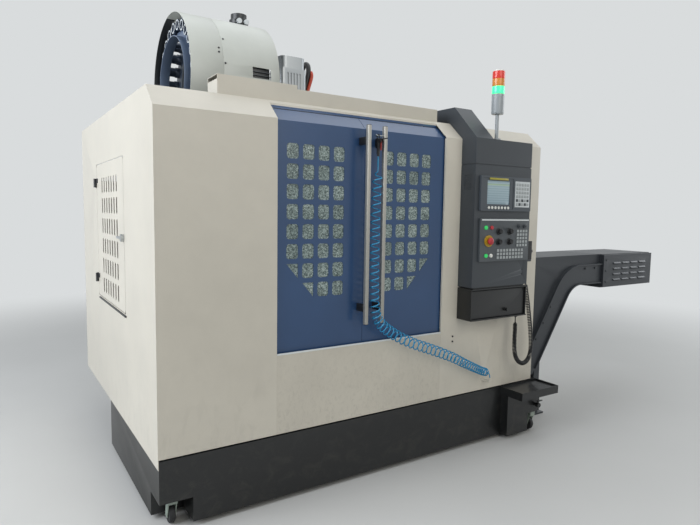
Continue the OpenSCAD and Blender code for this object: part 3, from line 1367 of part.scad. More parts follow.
// Route of the pendant's curly cord: under the storage box, down in a loop and up to the pendant
cord_route = [[2276, -70, 834], [2276, -70, 800], [2270, -76, 740], [2260, -84, 680], [2256, -90, 620],
    [2264, -95, 575], [2286, -98, 542], [2318, -100, 524], [2350, -100, 524], [2384, -98, 544],
    [2406, -95, 580], [2414, -92, 630], [2412, -88, 700], [2404, -84, 780], [2392, -80, 860],
    [2376, -78, 940], [2360, -76, 1010]];
// Plain end of the cord, from the last turn to the pendant's gland
tail_route = [[2360, -76, 1010], [2350, -76, 1050], [2342, -76, 1100], [2340, -76, 1150], [2340, -76, 1190]];

module pendant_cord() color("#141415") {
    swept_tube(cord_route, cord_od, 10);
    swept_tube(tail_route, tail_d, 8);
}

// Route of the coiled air hose: down between the handles, then in a slack curve to its outlet
hose_route = [[1152, -60, 1724], [1152, -60, 1660], [1152, -60, 1580], [1152, -60, 1500], [1152, -60, 1420],
    [1152, -60, 1340], [1152, -60, 1260], [1152, -60, 1180], [1152, -60, 1100], [1152, -60, 1020],
    [1152, -60, 950], [1157, -60, 890], [1176, -60, 840], [1216, -60, 806], [1280, -60, 776],
    [1350, -60, 748], [1430, -60, 716], [1510, -60, 680], [1590, -60, 644], [1670, -60, 610],
    [1750, -60, 580], [1830, -60, 552], [1910, -60, 528], [1990, -60, 504]];
lead_route = [[1152, -60, 1796], [1152, -60, 1760], [1152, -60, 1724]];
plug_route = [[1990, -60, 504], [2030, -60, 500], [2058, -60, 488], [2070, -60, 468], [2070, -60, 451]];

module air_hose() color("#2f8fc0") {
    swept_tube(hose_route, hose_od, 10);
    swept_tube(lead_route, tail_d, 8);
    swept_tube(plug_route, tail_d, 8);
}

module place() {
    translate([-origin_x, -origin_y, 0]) children();
}

place() base_casting();
place() column();
place() coolant_tank();
place() castor_left();
place() wheel_left();
place() castor_right();
place() wheel_right();
place() conveyor_case();
place() conveyor_cover();
place() left_panel();
place() left_wall();
place() front_sill();
place() right_cabinet();
place() top_cover();
place() work_tray();
place() electrical_cabinet();
place() console_body();
place() console_hood();
place() storage_box();
place() storage_flap();
place() display_unit();
place() operator_panel();
place() signal_tower();
place() magazine_cover();
place() magazine_frame();
place() magazine_disc();
place() changer_arm();
place() saddle();
place() table();
place() spindle_head();
place() spindle();
place() spindle_motor();
place() screw_x();
place() screw_y();
place() screw_z();
place() head_bellows();
place() door_left();
place() pane_left();
place() handle_left();
place() door_right();
place() pane_right();
place() handle_right();
place() side_door();
place() side_latch();
place() emergency_stop();
place() feed_knob();
place() rapid_knob();
place() speed_knob();
place() mode_knob();
place() power_on();
place() power_off();
place() cycle_start();
place() feed_hold();
place() pendant();
place() pendant_wheel();
place() pendant_cord();
place() air_hose();
place() air_gun();
place() gun_trigger();
place() head_hoses();
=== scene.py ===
"""Vertical machining centre: finished surfaces, hose, cord, console and stage around its CAD frame."""

import json
import math

import bpy
from mathutils import Matrix, Vector

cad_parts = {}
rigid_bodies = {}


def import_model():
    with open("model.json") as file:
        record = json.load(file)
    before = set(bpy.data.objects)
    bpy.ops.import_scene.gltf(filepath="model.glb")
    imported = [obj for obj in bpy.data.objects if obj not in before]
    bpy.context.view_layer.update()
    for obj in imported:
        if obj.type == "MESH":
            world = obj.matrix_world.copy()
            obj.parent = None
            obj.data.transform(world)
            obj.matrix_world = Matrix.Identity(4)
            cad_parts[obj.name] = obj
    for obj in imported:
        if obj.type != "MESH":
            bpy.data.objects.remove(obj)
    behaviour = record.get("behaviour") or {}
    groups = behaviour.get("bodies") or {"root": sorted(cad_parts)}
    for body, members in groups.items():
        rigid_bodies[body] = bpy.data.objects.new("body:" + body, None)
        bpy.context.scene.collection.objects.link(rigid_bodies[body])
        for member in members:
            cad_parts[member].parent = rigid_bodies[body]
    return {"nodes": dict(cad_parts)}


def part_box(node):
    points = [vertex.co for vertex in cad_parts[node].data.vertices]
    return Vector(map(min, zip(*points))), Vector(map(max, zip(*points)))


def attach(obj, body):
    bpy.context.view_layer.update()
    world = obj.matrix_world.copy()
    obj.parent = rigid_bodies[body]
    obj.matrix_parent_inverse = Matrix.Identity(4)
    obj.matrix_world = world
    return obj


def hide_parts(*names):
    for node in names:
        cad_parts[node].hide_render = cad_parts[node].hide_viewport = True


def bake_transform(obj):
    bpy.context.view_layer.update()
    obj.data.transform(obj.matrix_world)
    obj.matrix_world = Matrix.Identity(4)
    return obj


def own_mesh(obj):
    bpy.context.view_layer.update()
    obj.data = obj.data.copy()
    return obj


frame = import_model()

bl_info = {
    "name": "Machining centre",
    "version": (1, 0, 0),
    "blender": (4, 5, 0),
    "location": "3D View > Sidebar > Machine",
    "description": "Finished surfaces, hose, cord and console of a vertical machining centre",
    "category": "Add Mesh",
}

# A millimetre in metres, and a metre in millimetres
MM, METRE = 0.001, 1000.0

# Thickness of the enclosure's sheet
SHEET = 3 * MM


# Places

def low(node):
    return Vector(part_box(node)[0])


def high(node):
    return Vector(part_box(node)[1])


# The enclosure's front left corner on the floor: all drawn places are measured from it
CORNER = Vector((low("left_panel").x - SHEET, low("left_panel").y, 0.0))


def at(x, y, z):
    """Point in the row frame from millimetres right of, behind and above the front left corner."""
    return CORNER + Vector((x, y, z)) * MM


def in_mm(place):
    """Millimetres from the front left corner to a point in the row frame."""
    return (place - CORNER) / MM


def carrier(node):
    """Name of the body that a CAD node belongs to."""
    return frame["nodes"][node].parent.name.split(":", 1)[1]


# Materials

def linear(code):
    """sRGB hex to the linear colour that a shader reads."""
    parts = [int(code[i:i + 2], 16) / 255 for i in (1, 3, 5)]
    return tuple(p / 12.92 if p <= 0.04045 else ((p + 0.055) / 1.055) ** 2.4 for p in parts) + (1.0,)


BLACK, WHITE = linear("#000000"), linear("#ffffff")


def scaled(colour, factor):
    """A linear colour made darker or lighter."""
    return tuple(min(1.0, part * factor) for part in colour[:3]) + (1.0,)


def add(tree, kind, inputs=None, stops=(), **settings):
    """Adds a shader node with its properties, its inputs, each a value or a link from a (node, output)
    pair, and a colour ramp's (place, colour) stops."""
    node = tree.nodes.new("ShaderNode" + kind)
    for name, value in settings.items():
        setattr(node, name, value)
    for name, value in (inputs or {}).items():
        if isinstance(value, tuple) and isinstance(value[0], bpy.types.Node):
            tree.links.new(value[0].outputs[value[1]], node.inputs[name])
        else:
            node.inputs[name].default_value = value
    if stops:
        elements = node.color_ramp.elements
        while len(elements) < len(stops):
            elements.new(1.0)
        for element, (place, colour) in zip(elements, stops):
            element.position = place
            element.color = colour
    return node


def new_material(name):
    """Empty node material, its tree, and the place on the object in metres that its patterns read."""
    material = bpy.data.materials.new(name)
    material.use_nodes = True
    tree = material.node_tree
    tree.nodes.clear()
    return material, tree, (add(tree, "TexCoord"), "Object")


# Height in metres below which the shop grime is at its full strength
GRIME_FULL = 0.15


# A noise scale counts features to the metre, so grain of a size in mm has the scale METRE / size

def powder_coat(name, colour, roughness=0.42, peel=4.0, height=0.12, grime=0.0, grime_top=0.9,
                coat=0.0, mottle=0.05, soil_colour="#6e6a60", blot=(9.0, 9.0, 3.5)):
    """Powder-coated sheet steel: faint orange peel of peel mm, slight mottling in clouds of about 300 mm,
    and shop grime in blots that settles below grime_top metres. The coat is a dielectric, so metallic
    stays 0."""
    material, tree, place = new_material(name)
    cloud = add(tree, "TexNoise", {"Vector": place, "Scale": 3.2, "Detail": 5.0, "Roughness": 0.6})
    base = linear(colour)
    tone = add(tree, "ValToRGB", {"Fac": (cloud, "Fac")},
               ((0.3, scaled(base, 1 - mottle)), (0.7, scaled(base, 1 + mottle))))
    painted = (tone, "Color")
    if grime:
        split = add(tree, "SeparateXYZ", {"Vector": place})
        fall = add(tree, "MapRange", {"Value": (split, "Z"), "From Min": grime_top, "From Max": GRIME_FULL})
        smear = add(tree, "Mapping", {"Vector": place, "Scale": blot})
        blots = add(tree, "TexNoise", {"Vector": (smear, "Vector"), "Scale": 2.2, "Detail": 8.0,
                                       "Roughness": 0.72, "Distortion": 0.6})
        marks = add(tree, "ValToRGB", {"Fac": (blots, "Fac")}, ((0.5, BLACK), (0.72, WHITE)))
        low_marks = add(tree, "Math", {0: (marks, "Color"), 1: (fall, "Result")}, operation="MULTIPLY")
        amount = add(tree, "Math", {0: (low_marks, "Value"), 1: grime}, operation="MULTIPLY")
        soiled = add(tree, "Mix", {"Factor": (amount, "Value"), "A": painted, "B": linear(soil_colour)},
                     data_type="RGBA", blend_type="MIX")
        painted = (soiled, "Result")
    speck = add(tree, "TexNoise", {"Vector": place, "Scale": METRE / peel, "Detail": 2.0})
    sheen = add(tree, "MapRange", {"Value": (cloud, "Fac"), "To Min": roughness - 0.06,
                                   "To Max": roughness + 0.08})
    relief = add(tree, "Bump", {"Height": (speck, "Fac"), "Strength": height, "Distance": 0.4 * MM})
    shader = add(tree, "BsdfPrincipled", {"Base Color": painted, "Roughness": (sheen, "Result"),
                                          "Normal": (relief, "Normal"), "IOR": 1.5, "Coat Weight": coat})
    add(tree, "OutputMaterial", {"Surface": (shader, "BSDF")})
    return material


def plain_plastic(name, colour, roughness=0.45, ior=1.46, glow=0.0, grain=0.8, bump=0.05):
    """Moulded plastic with a fine spark-eroded grain of grain mm."""
    material, tree, place = new_material(name)
    speck = add(tree, "TexNoise", {"Vector": place, "Scale": METRE / grain, "Detail": 1.0})
    relief = add(tree, "Bump", {"Height": (speck, "Fac"), "Strength": bump, "Distance": 0.2 * MM})
    light = {"Emission Color": linear(colour), "Emission Strength": glow} if glow else {}
    shader = add(tree, "BsdfPrincipled", {"Base Color": linear(colour), "Roughness": roughness, "IOR": ior,
                                          "Normal": (relief, "Normal"), **light})
    add(tree, "OutputMaterial", {"Surface": (shader, "BSDF")})
    return material


def bare_metal(name, colour, roughness=0.32, stretch=(1.0, 1.0, 40.0), grain=1.2, metallic=1.0):
    """Bare metal brushed or machined along one way: lines grain mm apart, drawn as coarse as they need
    to show."""
    material, tree, place = new_material(name)
    along = add(tree, "Mapping", {"Vector": place, "Scale": tuple(METRE / grain / s for s in stretch)})
    lines = add(tree, "TexNoise", {"Vector": (along, "Vector"), "Scale": 1.0, "Detail": 3.0})
    sheen = add(tree, "MapRange", {"Value": (lines, "Fac"), "To Min": roughness - 0.07,
                                   "To Max": roughness + 0.1})
    relief = add(tree, "Bump", {"Height": (lines, "Fac"), "Strength": 0.06, "Distance": 0.2 * MM})
    shader = add(tree, "BsdfPrincipled", {"Base Color": linear(colour), "Metallic": metallic,
                                          "Roughness": (sheen, "Result"), "Normal": (relief, "Normal")})
    add(tree, "OutputMaterial", {"Surface": (shader, "BSDF")})
    return material


def rough_casting(name, colour, roughness=0.6, grit=3.0):
    """Sand-cast grey iron under a coat of machine enamel: pits of grit mm show through, and the tone
    drifts in clouds of about 170 mm."""
    material, tree, place = new_material(name)
    sand = add(tree, "TexNoise", {"Vector": place, "Scale": METRE / grit, "Detail": 4.0})
    cloud = add(tree, "TexNoise", {"Vector": place, "Scale": 6.0, "Detail": 4.0})
    base = linear(colour)
    tone = add(tree, "ValToRGB", {"Fac": (cloud, "Fac")}, ((0.3, scaled(base, 0.86)), (0.7, base)))
    relief = add(tree, "Bump", {"Height": (sand, "Fac"), "Strength": 0.35, "Distance": 0.6 * MM})
    shader = add(tree, "BsdfPrincipled", {"Base Color": (tone, "Color"), "Roughness": roughness,
                                          "Normal": (relief, "Normal")})
    add(tree, "OutputMaterial", {"Surface": (shader, "BSDF")})
    return material


def patterned_glass(name):
    """Rolled pattern glass with a stippled face, drawn opaque: cells of about 8 mm carry painted glints of
    the hall's light, painted dark between them stands for the shaded work space behind, and the tone drifts
    in patches of about 140 mm."""
    material, tree, place = new_material(name)
    cells = add(tree, "TexNoise", {"Vector": place, "Scale": METRE / 8, "Detail": 3.0, "Roughness": 0.75,
                                   "Distortion": 0.8})
    cloud = add(tree, "TexNoise", {"Vector": place, "Scale": 7.0, "Detail": 2.0})
    # Painted glints on the cells, with the painted shade of the work space between them
    glint_and_shade_paint = add(tree, "ValToRGB", {"Fac": (cells, "Fac")},
               ((0.38, linear("#485552")), (0.5, linear("#7c8d8b")), (0.62, linear("#c4d2cd"))))
    shade = add(tree, "ValToRGB", {"Fac": (cloud, "Fac")}, ((0.3, linear("#c9cfcf")), (0.7, WHITE)))
    both = add(tree, "Mix", {"Factor": 1.0, "A": (glint_and_shade_paint, "Color"), "B": (shade, "Color")},
               data_type="RGBA", blend_type="MULTIPLY")
    relief = add(tree, "Bump", {"Height": (cells, "Fac"), "Strength": 0.6, "Distance": 1.0 * MM})
    shader = add(tree, "BsdfPrincipled", {"Base Color": (both, "Result"), "Roughness": 0.14, "IOR": 1.52,
                                          "Normal": (relief, "Normal")})
    add(tree, "OutputMaterial", {"Surface": (shader, "BSDF")})
    return material


# Lower and upper edge of the screen and the spacing of its rows, in machine millimetres
SCREEN_LOW, SCREEN_HIGH, SCREEN_ROW = 1558, 1700, 14


def lit_screen(name):
    """Liquid crystal display behind its glass: a pale blue-grey ground, a greenish bar near its top and
    faint rules between the rows. It carries no words."""
    material, tree, place = new_material(name)
    split = add(tree, "SeparateXYZ", {"Vector": place})
    share = add(tree, "MapRange", {"Value": (split, "Z"), "From Min": SCREEN_LOW * MM,
                                   "From Max": SCREEN_HIGH * MM})
    bands = add(tree, "ValToRGB", {"Fac": (share, "Result")},
                ((0.0, linear("#71858f")), (0.1, linear("#8397a0")), (0.78, linear("#8fa2a9")),
                 (0.84, linear("#93a88c")), (0.9, linear("#90a3ab")), (1.0, linear("#869aa3"))))
    rows = add(tree, "Math", {0: (split, "Z"), 1: METRE / SCREEN_ROW}, operation="MULTIPLY")
    rules = add(tree, "Math", {0: (rows, "Value"), 1: 0.5}, operation="PINGPONG")
    faint = add(tree, "ValToRGB", {"Fac": (rules, "Value")}, ((0.0, linear("#c6ced2")), (0.12, WHITE)))
    both = add(tree, "Mix", {"Factor": 1.0, "A": (bands, "Color"), "B": (faint, "Color")},
               data_type="RGBA", blend_type="MULTIPLY")
    shader = add(tree, "BsdfPrincipled", {"Base Color": (both, "Result"), "Emission Color": (both, "Result"),
                                          "Emission Strength": 0.25, "Roughness": 0.12, "IOR": 1.52})
    add(tree, "OutputMaterial", {"Surface": (shader, "BSDF")})
    return material


def make_materials():
    """The finish of each piece. The first group is named for the record's slots, the second for the
    trim inside a piece."""
    slots = {
        # Sand-cast iron under grey enamel: dull, with sand pits
        "cast_paint": rough_casting("grey_enamelled_casting", "#5b6166", 0.5),
        # Charcoal powder coat: nearly black, soft sheen, oily lower down
        "dark_sheet": powder_coat("charcoal_powder_coat", "#303439", 0.4, 3.0, 0.22, 0.4, 0.5),
        # Enamelled pressed steel: pale grey-green, smooth
        "castor_fork": powder_coat("grey_green_enamel", "#8d998f", 0.4, 2.0, 0.1),
        # Moulded rubber: black, dull
        "castor_rubber": plain_plastic("castor_rubber", "#1d1e20", 0.7, 1.52, grain=2.0, bump=0.12),
        # Warm grey-white powder coat: satin, with faint orange peel and dust near the floor
        "cream_paint": powder_coat("cream_powder_coat", "#cbc6b9", 0.36, 5.0, 0.1, 0.22, 0.85),
        # Galvanised sheet: grey, spangled and dull
        "tray_steel": bare_metal("galvanised_sheet", "#85898c", 0.42, (8.0, 8.0, 8.0), 6.0, 0.8),
        # Anthracite texture coat: fine grain that breaks the light up
        "console_paint": powder_coat("anthracite_texture_coat", "#34393e", 0.4, 1.6, 0.4),
        # Moulded bezel: blue-grey, satin
        "display_grey": plain_plastic("moulded_bezel_grey", "#484e54", 0.42),
        # Moulded lamp housing: mid grey, with a soft gloss
        "lamp_column": plain_plastic("lamp_housing_grey", "#9aa0a3", 0.3),
        # Pale powder coat on rolled sheet: its long highlight shows the bend
        "cover_paint": powder_coat("pale_grey_powder_coat", "#bfc2ba", 0.36, 5.0, 0.1),
        # Enamelled iron of the gearbox: dull mid grey with finer pits
        "gearbox_iron": rough_casting("gearbox_iron", "#5f6468", 0.5, 2.5),
        # Moulded nylon pot: dark blue-grey, soft sheen
        "pot_plastic": plain_plastic("moulded_pot_nylon", "#3b4656", 0.38),
        # Ground steel: bright, with an even fine grain
        "arm_steel": bare_metal("ground_arm_steel", "#a9adb0", 0.28, (1.0, 1.0, 1.0), 2.0),
        # Ground iron: bright, its grinding lines run along the table
        "table_iron": bare_metal("ground_table_iron", "#a7abae", 0.3, (40.0, 1.0, 1.0), 1.5),
        # Die-cast aluminium: pale, soft gloss
        "motor_alloy": bare_metal("cast_motor_alloy", "#a4a8aa", 0.4, (2.0, 2.0, 2.0), 3.0),
        # Rubber-coated cloth: black, dull, with its weave showing through
        "bellows_fabric": plain_plastic("coated_bellows_cloth", "#232527", 0.6, grain=1.5, bump=0.3),
        # Deep blue powder coat: semi-gloss, so the hall lifts its upper half
        "blue_paint": powder_coat("blue_powder_coat", "#28476f", 0.3, 4.0, 0.12, coat=0.25, mottle=0.07),
        # Rolled pattern glass: painted pale glints on a painted dark ground, the shade of the work space
        # behind
        "window_glass": patterned_glass("stippled_window_glass"),
        # Anodised aluminium tube: drawn lines along its length
        "handle_alloy": bare_metal("satin_anodised_tube", "#a8a69f", 0.36, (1.0, 1.0, 60.0), 1.0, 0.6),
        # Glass-filled nylon: black, satin
        "black_plastic": plain_plastic("black_nylon", "#17181a", 0.4),
        # Polished button plastics: clear highlights; the green ones are lit
        "stop_red": plain_plastic("stop_button_red", "#b8323a", 0.3),
        "button_green": plain_plastic("lamp_green", "#2fb45a", 0.25, glow=0.5),
        "button_white": plain_plastic("key_white", "#dfe0da", 0.35),
        # Polyurethane tube: glossy blue
        "hose_blue": plain_plastic("polyurethane_hose_blue", "#2f8fbd", 0.2, 1.5, grain=3.0, bump=0.02),
        # Moulded nylon lever: dark brick red, satin
        "trigger_red": plain_plastic("trigger_red", "#7d241d", 0.35),
    }
    trim = {
        # Display glass: smooth, lit from behind
        "screen": lit_screen("display_glass"),
        # Polycarbonate membrane over the keys: pale, satin
        "key_plate": plain_plastic("membrane_pale_grey", "#c6ccce", 0.4),
        # Moulded key caps: light and dark grey, satin
        "key_cap": plain_plastic("key_cap_grey", "#9fa5a6", 0.45),
        "dark_key": plain_plastic("key_cap_dark", "#3a3f44", 0.45),
        # Textured polyester film of the operator's panel: mid grey, finely grained
        "panel_face": powder_coat("control_panel_film", "#4b5054", 0.42, 1.6, 0.2),
        # Plain film and moulded ring: dull yellow and ochre, satin
        "film_yellow": plain_plastic("muted_yellow_film", "#a39a3c", 0.45),
        "stop_yellow": plain_plastic("stop_ring_yellow", "#b08e22", 0.4),
        # Tinted polycarbonate lenses of the signal tower; the green one is lit
        "lens_green": plain_plastic("green_lens_lit", "#39e08a", 0.18, 1.58, 1.4),
        "lens_amber": plain_plastic("amber_lens", "#d98a34", 0.18, 1.58),
        "lens_red": plain_plastic("red_lens", "#c93228", 0.18, 1.58, 0.25),
        # Black tank enamel: glossier where it is clean, brown with dried coolant in blots
        "tank_paint": powder_coat("tank_black_enamel", "#0e1011", 0.38, 3.0, 0.2, 0.5, 0.45, 0.2, 0.08,
                                  "#3c3a35", (5.0, 5.0, 5.0)),
        # Cream coat below the doors, dulled by coolant drips and by hands and boots
        "worn_cream": powder_coat("worn_cream_powder_coat", "#c6c1b4", 0.4, 5.0, 0.1, 0.4, 1.0, 0.0, 0.06,
                                  "#77736a", (26.0, 26.0, 16.0)),
        # Blackened steel: nearly black, satin
        "hinge_black": plain_plastic("blackened_hinge_steel", "#2a2c2e", 0.4),
        # Vinyl-sheathed conduit: orange red, satin
        "conduit_orange": plain_plastic("conduit_orange", "#c2482e", 0.4),
        # Moulded acetal clips: bluish white, satin
        "clip_white": plain_plastic("pot_clip_white", "#d5dadb", 0.4),
        # Zinc plate: bright, slightly blue
        "bolt_zinc": bare_metal("zinc_plated_bolt", "#b4b8ba", 0.3, (1.0, 1.0, 1.0), 1.0),
        # Blue-grey enamel on the pots' drum, black enamel on the magazine's motor
        "drum_enamel": powder_coat("drum_blue_grey_enamel", "#5b6a80", 0.36, 3.0, 0.1),
        "motor_black": powder_coat("motor_black_enamel", "#26292b", 0.36, 2.0, 0.1),
    }
    return {**slots, **trim}


MATERIALS = make_materials()


# Modelling helpers

def pick(obj):
    """Selects one object only and makes it active."""
    bpy.ops.object.select_all(action="DESELECT")
    obj.select_set(True)
    bpy.context.view_layer.objects.active = obj


def enter_edit(action="SELECT"):
    """Goes into edit mode with everything selected, or nothing."""
    bpy.ops.object.mode_set(mode="EDIT")
    bpy.ops.mesh.select_all(action=action)


def leave_edit():
    bpy.ops.object.mode_set(mode="OBJECT")


def smooth_below(angle):
    """Shades the active object smooth across edges flatter than angle degrees."""
    bpy.ops.object.shade_smooth_by_angle(angle=math.radians(angle))


def settle():
    """Puts the active object's place, turn and size into its mesh."""
    bpy.ops.object.transform_apply(location=True, rotation=True, scale=True)


def modifier(obj, kind, live=False, **settings):
    """Adds a modifier with its settings to the active object, and applies it unless it stays live."""
    added = obj.modifiers.new(kind.lower(), kind)
    for name, value in settings.items():
        setattr(added, name, value)
    if not live:
        bpy.ops.object.modifier_apply(modifier=added.name)


def round_rims(obj, width):
    """Rounds the edges sharper than 50 degrees by width metres."""
    modifier(obj, "BEVEL", width=width, segments=2, limit_method="ANGLE", angle_limit=math.radians(50))


def finish_node(node, material, width):
    """Finished copy of a CAD node: merged, its flat faces joined, its sharp edges rounded by width
    metres."""
    source = frame["nodes"][node]
    copy = source.copy()
    copy.data = source.data.copy()
    bpy.context.scene.collection.objects.link(copy)
    copy.parent = None
    copy.matrix_world = Matrix.Identity(4)
    copy.name = "finish_" + node
    copy.data.materials.clear()
    copy.data.materials.append(material)
    pick(copy)
    enter_edit()
    bpy.ops.mesh.remove_doubles(threshold=0.00002)
    bpy.ops.mesh.dissolve_limited(angle_limit=math.radians(0.5))
    leave_edit()
    sharp = 38
    smooth_below(sharp)
    if width:
        modifier(copy, "BEVEL", live=True, width=width, segments=2, limit_method="ANGLE",
                 angle_limit=math.radians(sharp), harden_normals=True, use_clamp_overlap=True)
    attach(copy, carrier(node))
    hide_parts(node)
    return copy


def paint(obj, name, test):
    """Gives the faces that pass a test, on their middle in machine millimetres and their normal,
    another material."""
    obj.data.materials.append(MATERIALS[name])
    index = len(obj.data.materials) - 1
    for face in obj.data.polygons:
        if test(in_mm(face.center), face.normal):
            face.material_index = index


def new_piece(name, body, slot, material=None):
    """Names the active object, puts its place into its mesh, gives it its material and body."""
    obj = bpy.context.object
    pick(obj)
    settle()
    obj.name = name
    obj.data.name = name
    obj.data.materials.append(MATERIALS[material or slot])
    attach(obj, body)
    return obj


def join(pieces):
    """Joins pieces of one body into the first."""
    bpy.ops.object.select_all(action="DESELECT")
    for obj in pieces:
        obj.select_set(True)
    bpy.context.view_layer.objects.active = pieces[0]
    bpy.ops.object.join()


def plate(low_place, high_place, radius, segments=2):
    """Box between two machine places in mm, with all its edges rounded."""
    a, b = at(*low_place), at(*high_place)
    bpy.ops.object.select_all(action="DESELECT")
    bpy.ops.mesh.primitive_cube_add(size=1, location=(a + b) / 2)
    obj = bpy.context.object
    obj.scale = b - a
    settle()
    enter_edit()
    bpy.ops.mesh.bevel(offset=radius, segments=segments, affect="EDGES")
    leave_edit()
    smooth_below(40)
    return obj


def shaft(place, way, radius, length, vertices, lip=0.0):
    """Cylinder that starts at a machine place in mm and runs along a way, its ends rounded by lip."""
    way = Vector(way).normalized()
    bpy.ops.object.select_all(action="DESELECT")
    middle = at(*place) + way * (length / 2)
    bpy.ops.mesh.primitive_cylinder_add(vertices=vertices, radius=radius, depth=length, location=middle,
                                        rotation=way.to_track_quat("Z", "Y").to_euler())
    obj = bpy.context.object
    if lip:
        round_rims(obj, lip)
    settle()
    smooth_below(40)
    return obj


def repeated(first, steps):
    """A piece and its copies, each with its own mesh, moved by steps in mm."""
    pieces = [first]
    for step in steps:
        copy = first.copy()
        copy.data = first.data.copy()
        copy.data.transform(Matrix.Translation(Vector(step) * MM))
        bpy.context.scene.collection.objects.link(copy)
        pieces.append(copy)
    return pieces


def turn_x(obj, pivot, angle):
    """Turns a mesh about a line along x through a pivot, by an angle in radians."""
    obj.data.transform(Matrix.Translation(pivot) @ Matrix.Rotation(angle, 4, "X")
                       @ Matrix.Translation(-pivot))
    return obj


# Cords

def resample(points, step):
    """Points of a smooth curve through the route, step metres apart."""
    fine = []
    last = len(points) - 1
    parts = 24
    for i in range(last):
        p0, p1, p2, p3 = points[max(i - 1, 0)], points[i], points[i + 1], points[min(i + 2, last)]
        for k in range(parts):
            t = k / parts
            fine.append(0.5 * (2 * p1 + (p2 - p0) * t + (2 * p0 - 5 * p1 + 4 * p2 - p3) * t * t
                               + (3 * p1 - p0 - 3 * p2 + p3) * t * t * t))
    fine.append(points[last])
    spots, run, wanted = [fine[0]], 0.0, step
    for a, b in zip(fine, fine[1:]):
        span = (b - a).length
        while span and run + span >= wanted:
            spots.append(a.lerp(b, (wanted - run) / span))
            wanted += step
        run += span
    return spots


def coil(points, radius_of, pitch_of, steps):
    """Points of a helix that winds round a route, steps of them to a turn. radius_of and pitch_of take
    the share of its length."""
    # Metres between the places along the route at which the coil's turn and frame are kept
    step = 0.002
    spots = resample(points, step)
    last = len(spots) - 1
    turn, angle = [], 0.0
    for i in range(last + 1):
        turn.append(angle)
        angle += step / pitch_of(i / last) * 2 * math.pi
    side = None
    frames = []
    for i, spot in enumerate(spots):
        way = (spots[min(i + 1, last)] - spots[max(i - 1, 0)]).normalized()
        if side is None:
            side = way.orthogonal().normalized()
        side = (side - way * side.dot(way)).normalized()
        frames.append((spot, side, way.cross(side)))
    line, k = [], 0
    count = int(turn[-1] / (2 * math.pi) * steps)
    for n in range(count + 1):
        goal = n * 2 * math.pi / steps
        while k < len(turn) - 2 and turn[k + 1] < goal:
            k += 1
        share = (goal - turn[k]) / max(turn[k + 1] - turn[k], 1e-9)
        spot = frames[k][0].lerp(frames[k + 1][0], share)
        a, b = frames[k][1], frames[k][2]
        radius = radius_of((k + share) / last)
        line.append(spot + radius * (math.cos(goal) * a + math.sin(goal) * b))
    return line


def swept_curve(name, line, radius, material, resolution=2):
    """Round curve along a line of points, with closed ends."""
    bpy.ops.curve.primitive_bezier_curve_add()
    obj = bpy.context.object
    obj.name = name
    curve = obj.data
    curve.splines.clear()
    spline = curve.splines.new("POLY")
    spline.points.add(len(line) - 1)
    for point, place in zip(spline.points, line):
        point.co = (*place, 1.0)
        point.radius = 1.0
    curve.dimensions = "3D"
    curve.bevel_depth = radius
    curve.bevel_resolution = resolution
    curve.use_fill_caps = True
    curve.materials.append(material)
    obj.matrix_world = Matrix.Identity(4)
    return obj


def smooth(x):
    """Rises from 0 to 1 with flat ends."""
    x = min(max(x, 0.0), 1.0)
    return x * x * (3 - 2 * x)


# Share of a coil's length over which it opens out at each end
FADE = 0.02

# The air hose, from the outlet below the sill up to the gun that hangs on the right handle
HOSE_ROUTE = [
    (2058, -60, 484), (2030, -60, 494), (1990, -60, 508), (1910, -60, 544), (1830, -60, 582),
    (1750, -60, 622), (1670, -60, 656), (1590, -60, 688), (1510, -60, 718), (1430, -60, 748),
    (1350, -60, 784), (1280, -60, 822), (1220, -60, 862), (1182, -60, 898), (1160, -60, 940),
    (1150, -60, 990), (1146, -60, 1040), (1142, -60, 1180), (1141, -60, 1340), (1143, -60, 1500),
    (1149, -60, 1660), (1152, -60, 1724),
]
# Its straight ends, at the outlet and below the gun
HOSE_START, HOSE_NECK = (2070, -60, 451), (2066, -60, 467)
HOSE_RISE, HOSE_END = (1152, -60, 1750), (1152, -60, 1796)

# The pendant's cord, from the gland under the storage box round to the foot of the pendant
CORD_ROUTE = [
    (2276, -70, 800), (2270, -76, 740), (2260, -84, 680), (2256, -90, 620), (2264, -95, 575),
    (2286, -98, 542), (2318, -100, 524), (2350, -100, 524), (2384, -98, 544), (2406, -95, 580),
    (2414, -92, 630), (2412, -88, 700), (2404, -84, 780), (2392, -80, 860), (2376, -78, 940),
    (2360, -76, 1010), (2350, -76, 1050),
]
# Its straight ends, at the gland and below the pendant
CORD_START = (2276, -70, 834)
CORD_RISE = [(2342, -76, 1100), (2340, -76, 1150), (2340, -76, 1190)]


def places(route):
    """Points in the row frame of a route in mm."""
    return [at(*place) for place in route]


def length_setting(name, description, default, least, most):
    """Panel setting of a length, in mm."""
    return bpy.props.FloatProperty(name=name, description=description, default=default * MM,
                                   unit="LENGTH", min=least * MM, max=most * MM)


class HoseSettings(bpy.types.PropertyGroup):
    """Sizes of the coiled air hose"""
    tube: length_setting("Tube diameter", "Outer diameter of the hose tube", 7, 4, 20)
    coil_radius: length_setting("Coil radius", "Radius of the coil between the handles", 24, 10, 60)
    slack_radius: length_setting("Slack radius", "Radius of the coil where it hangs slack", 30, 10, 80)


class HandleSettings(bpy.types.PropertyGroup):
    """Sizes of the door handles"""
    tube: length_setting("Tube side", "Outer side of the square handle tube", 22, 16, 36)


class MagazineSettings(bpy.types.PropertyGroup):
    """Sizes of the tool magazine's sheet metal"""
    sheet: length_setting("Cover sheet", "Thickness of the rolled cover", 3, 1, 6)


class CordSettings(bpy.types.PropertyGroup):
    """Sizes of the pendant's curly cord"""
    tube: length_setting("Cord diameter", "Outer diameter of the cord", 7, 3, 12)
    coil_radius: length_setting("Coil radius", "Radius of the coil's centreline", 11.5, 6, 30)
    pitch: length_setting("Pitch", "Spacing of the turns", 9, 5, 30)


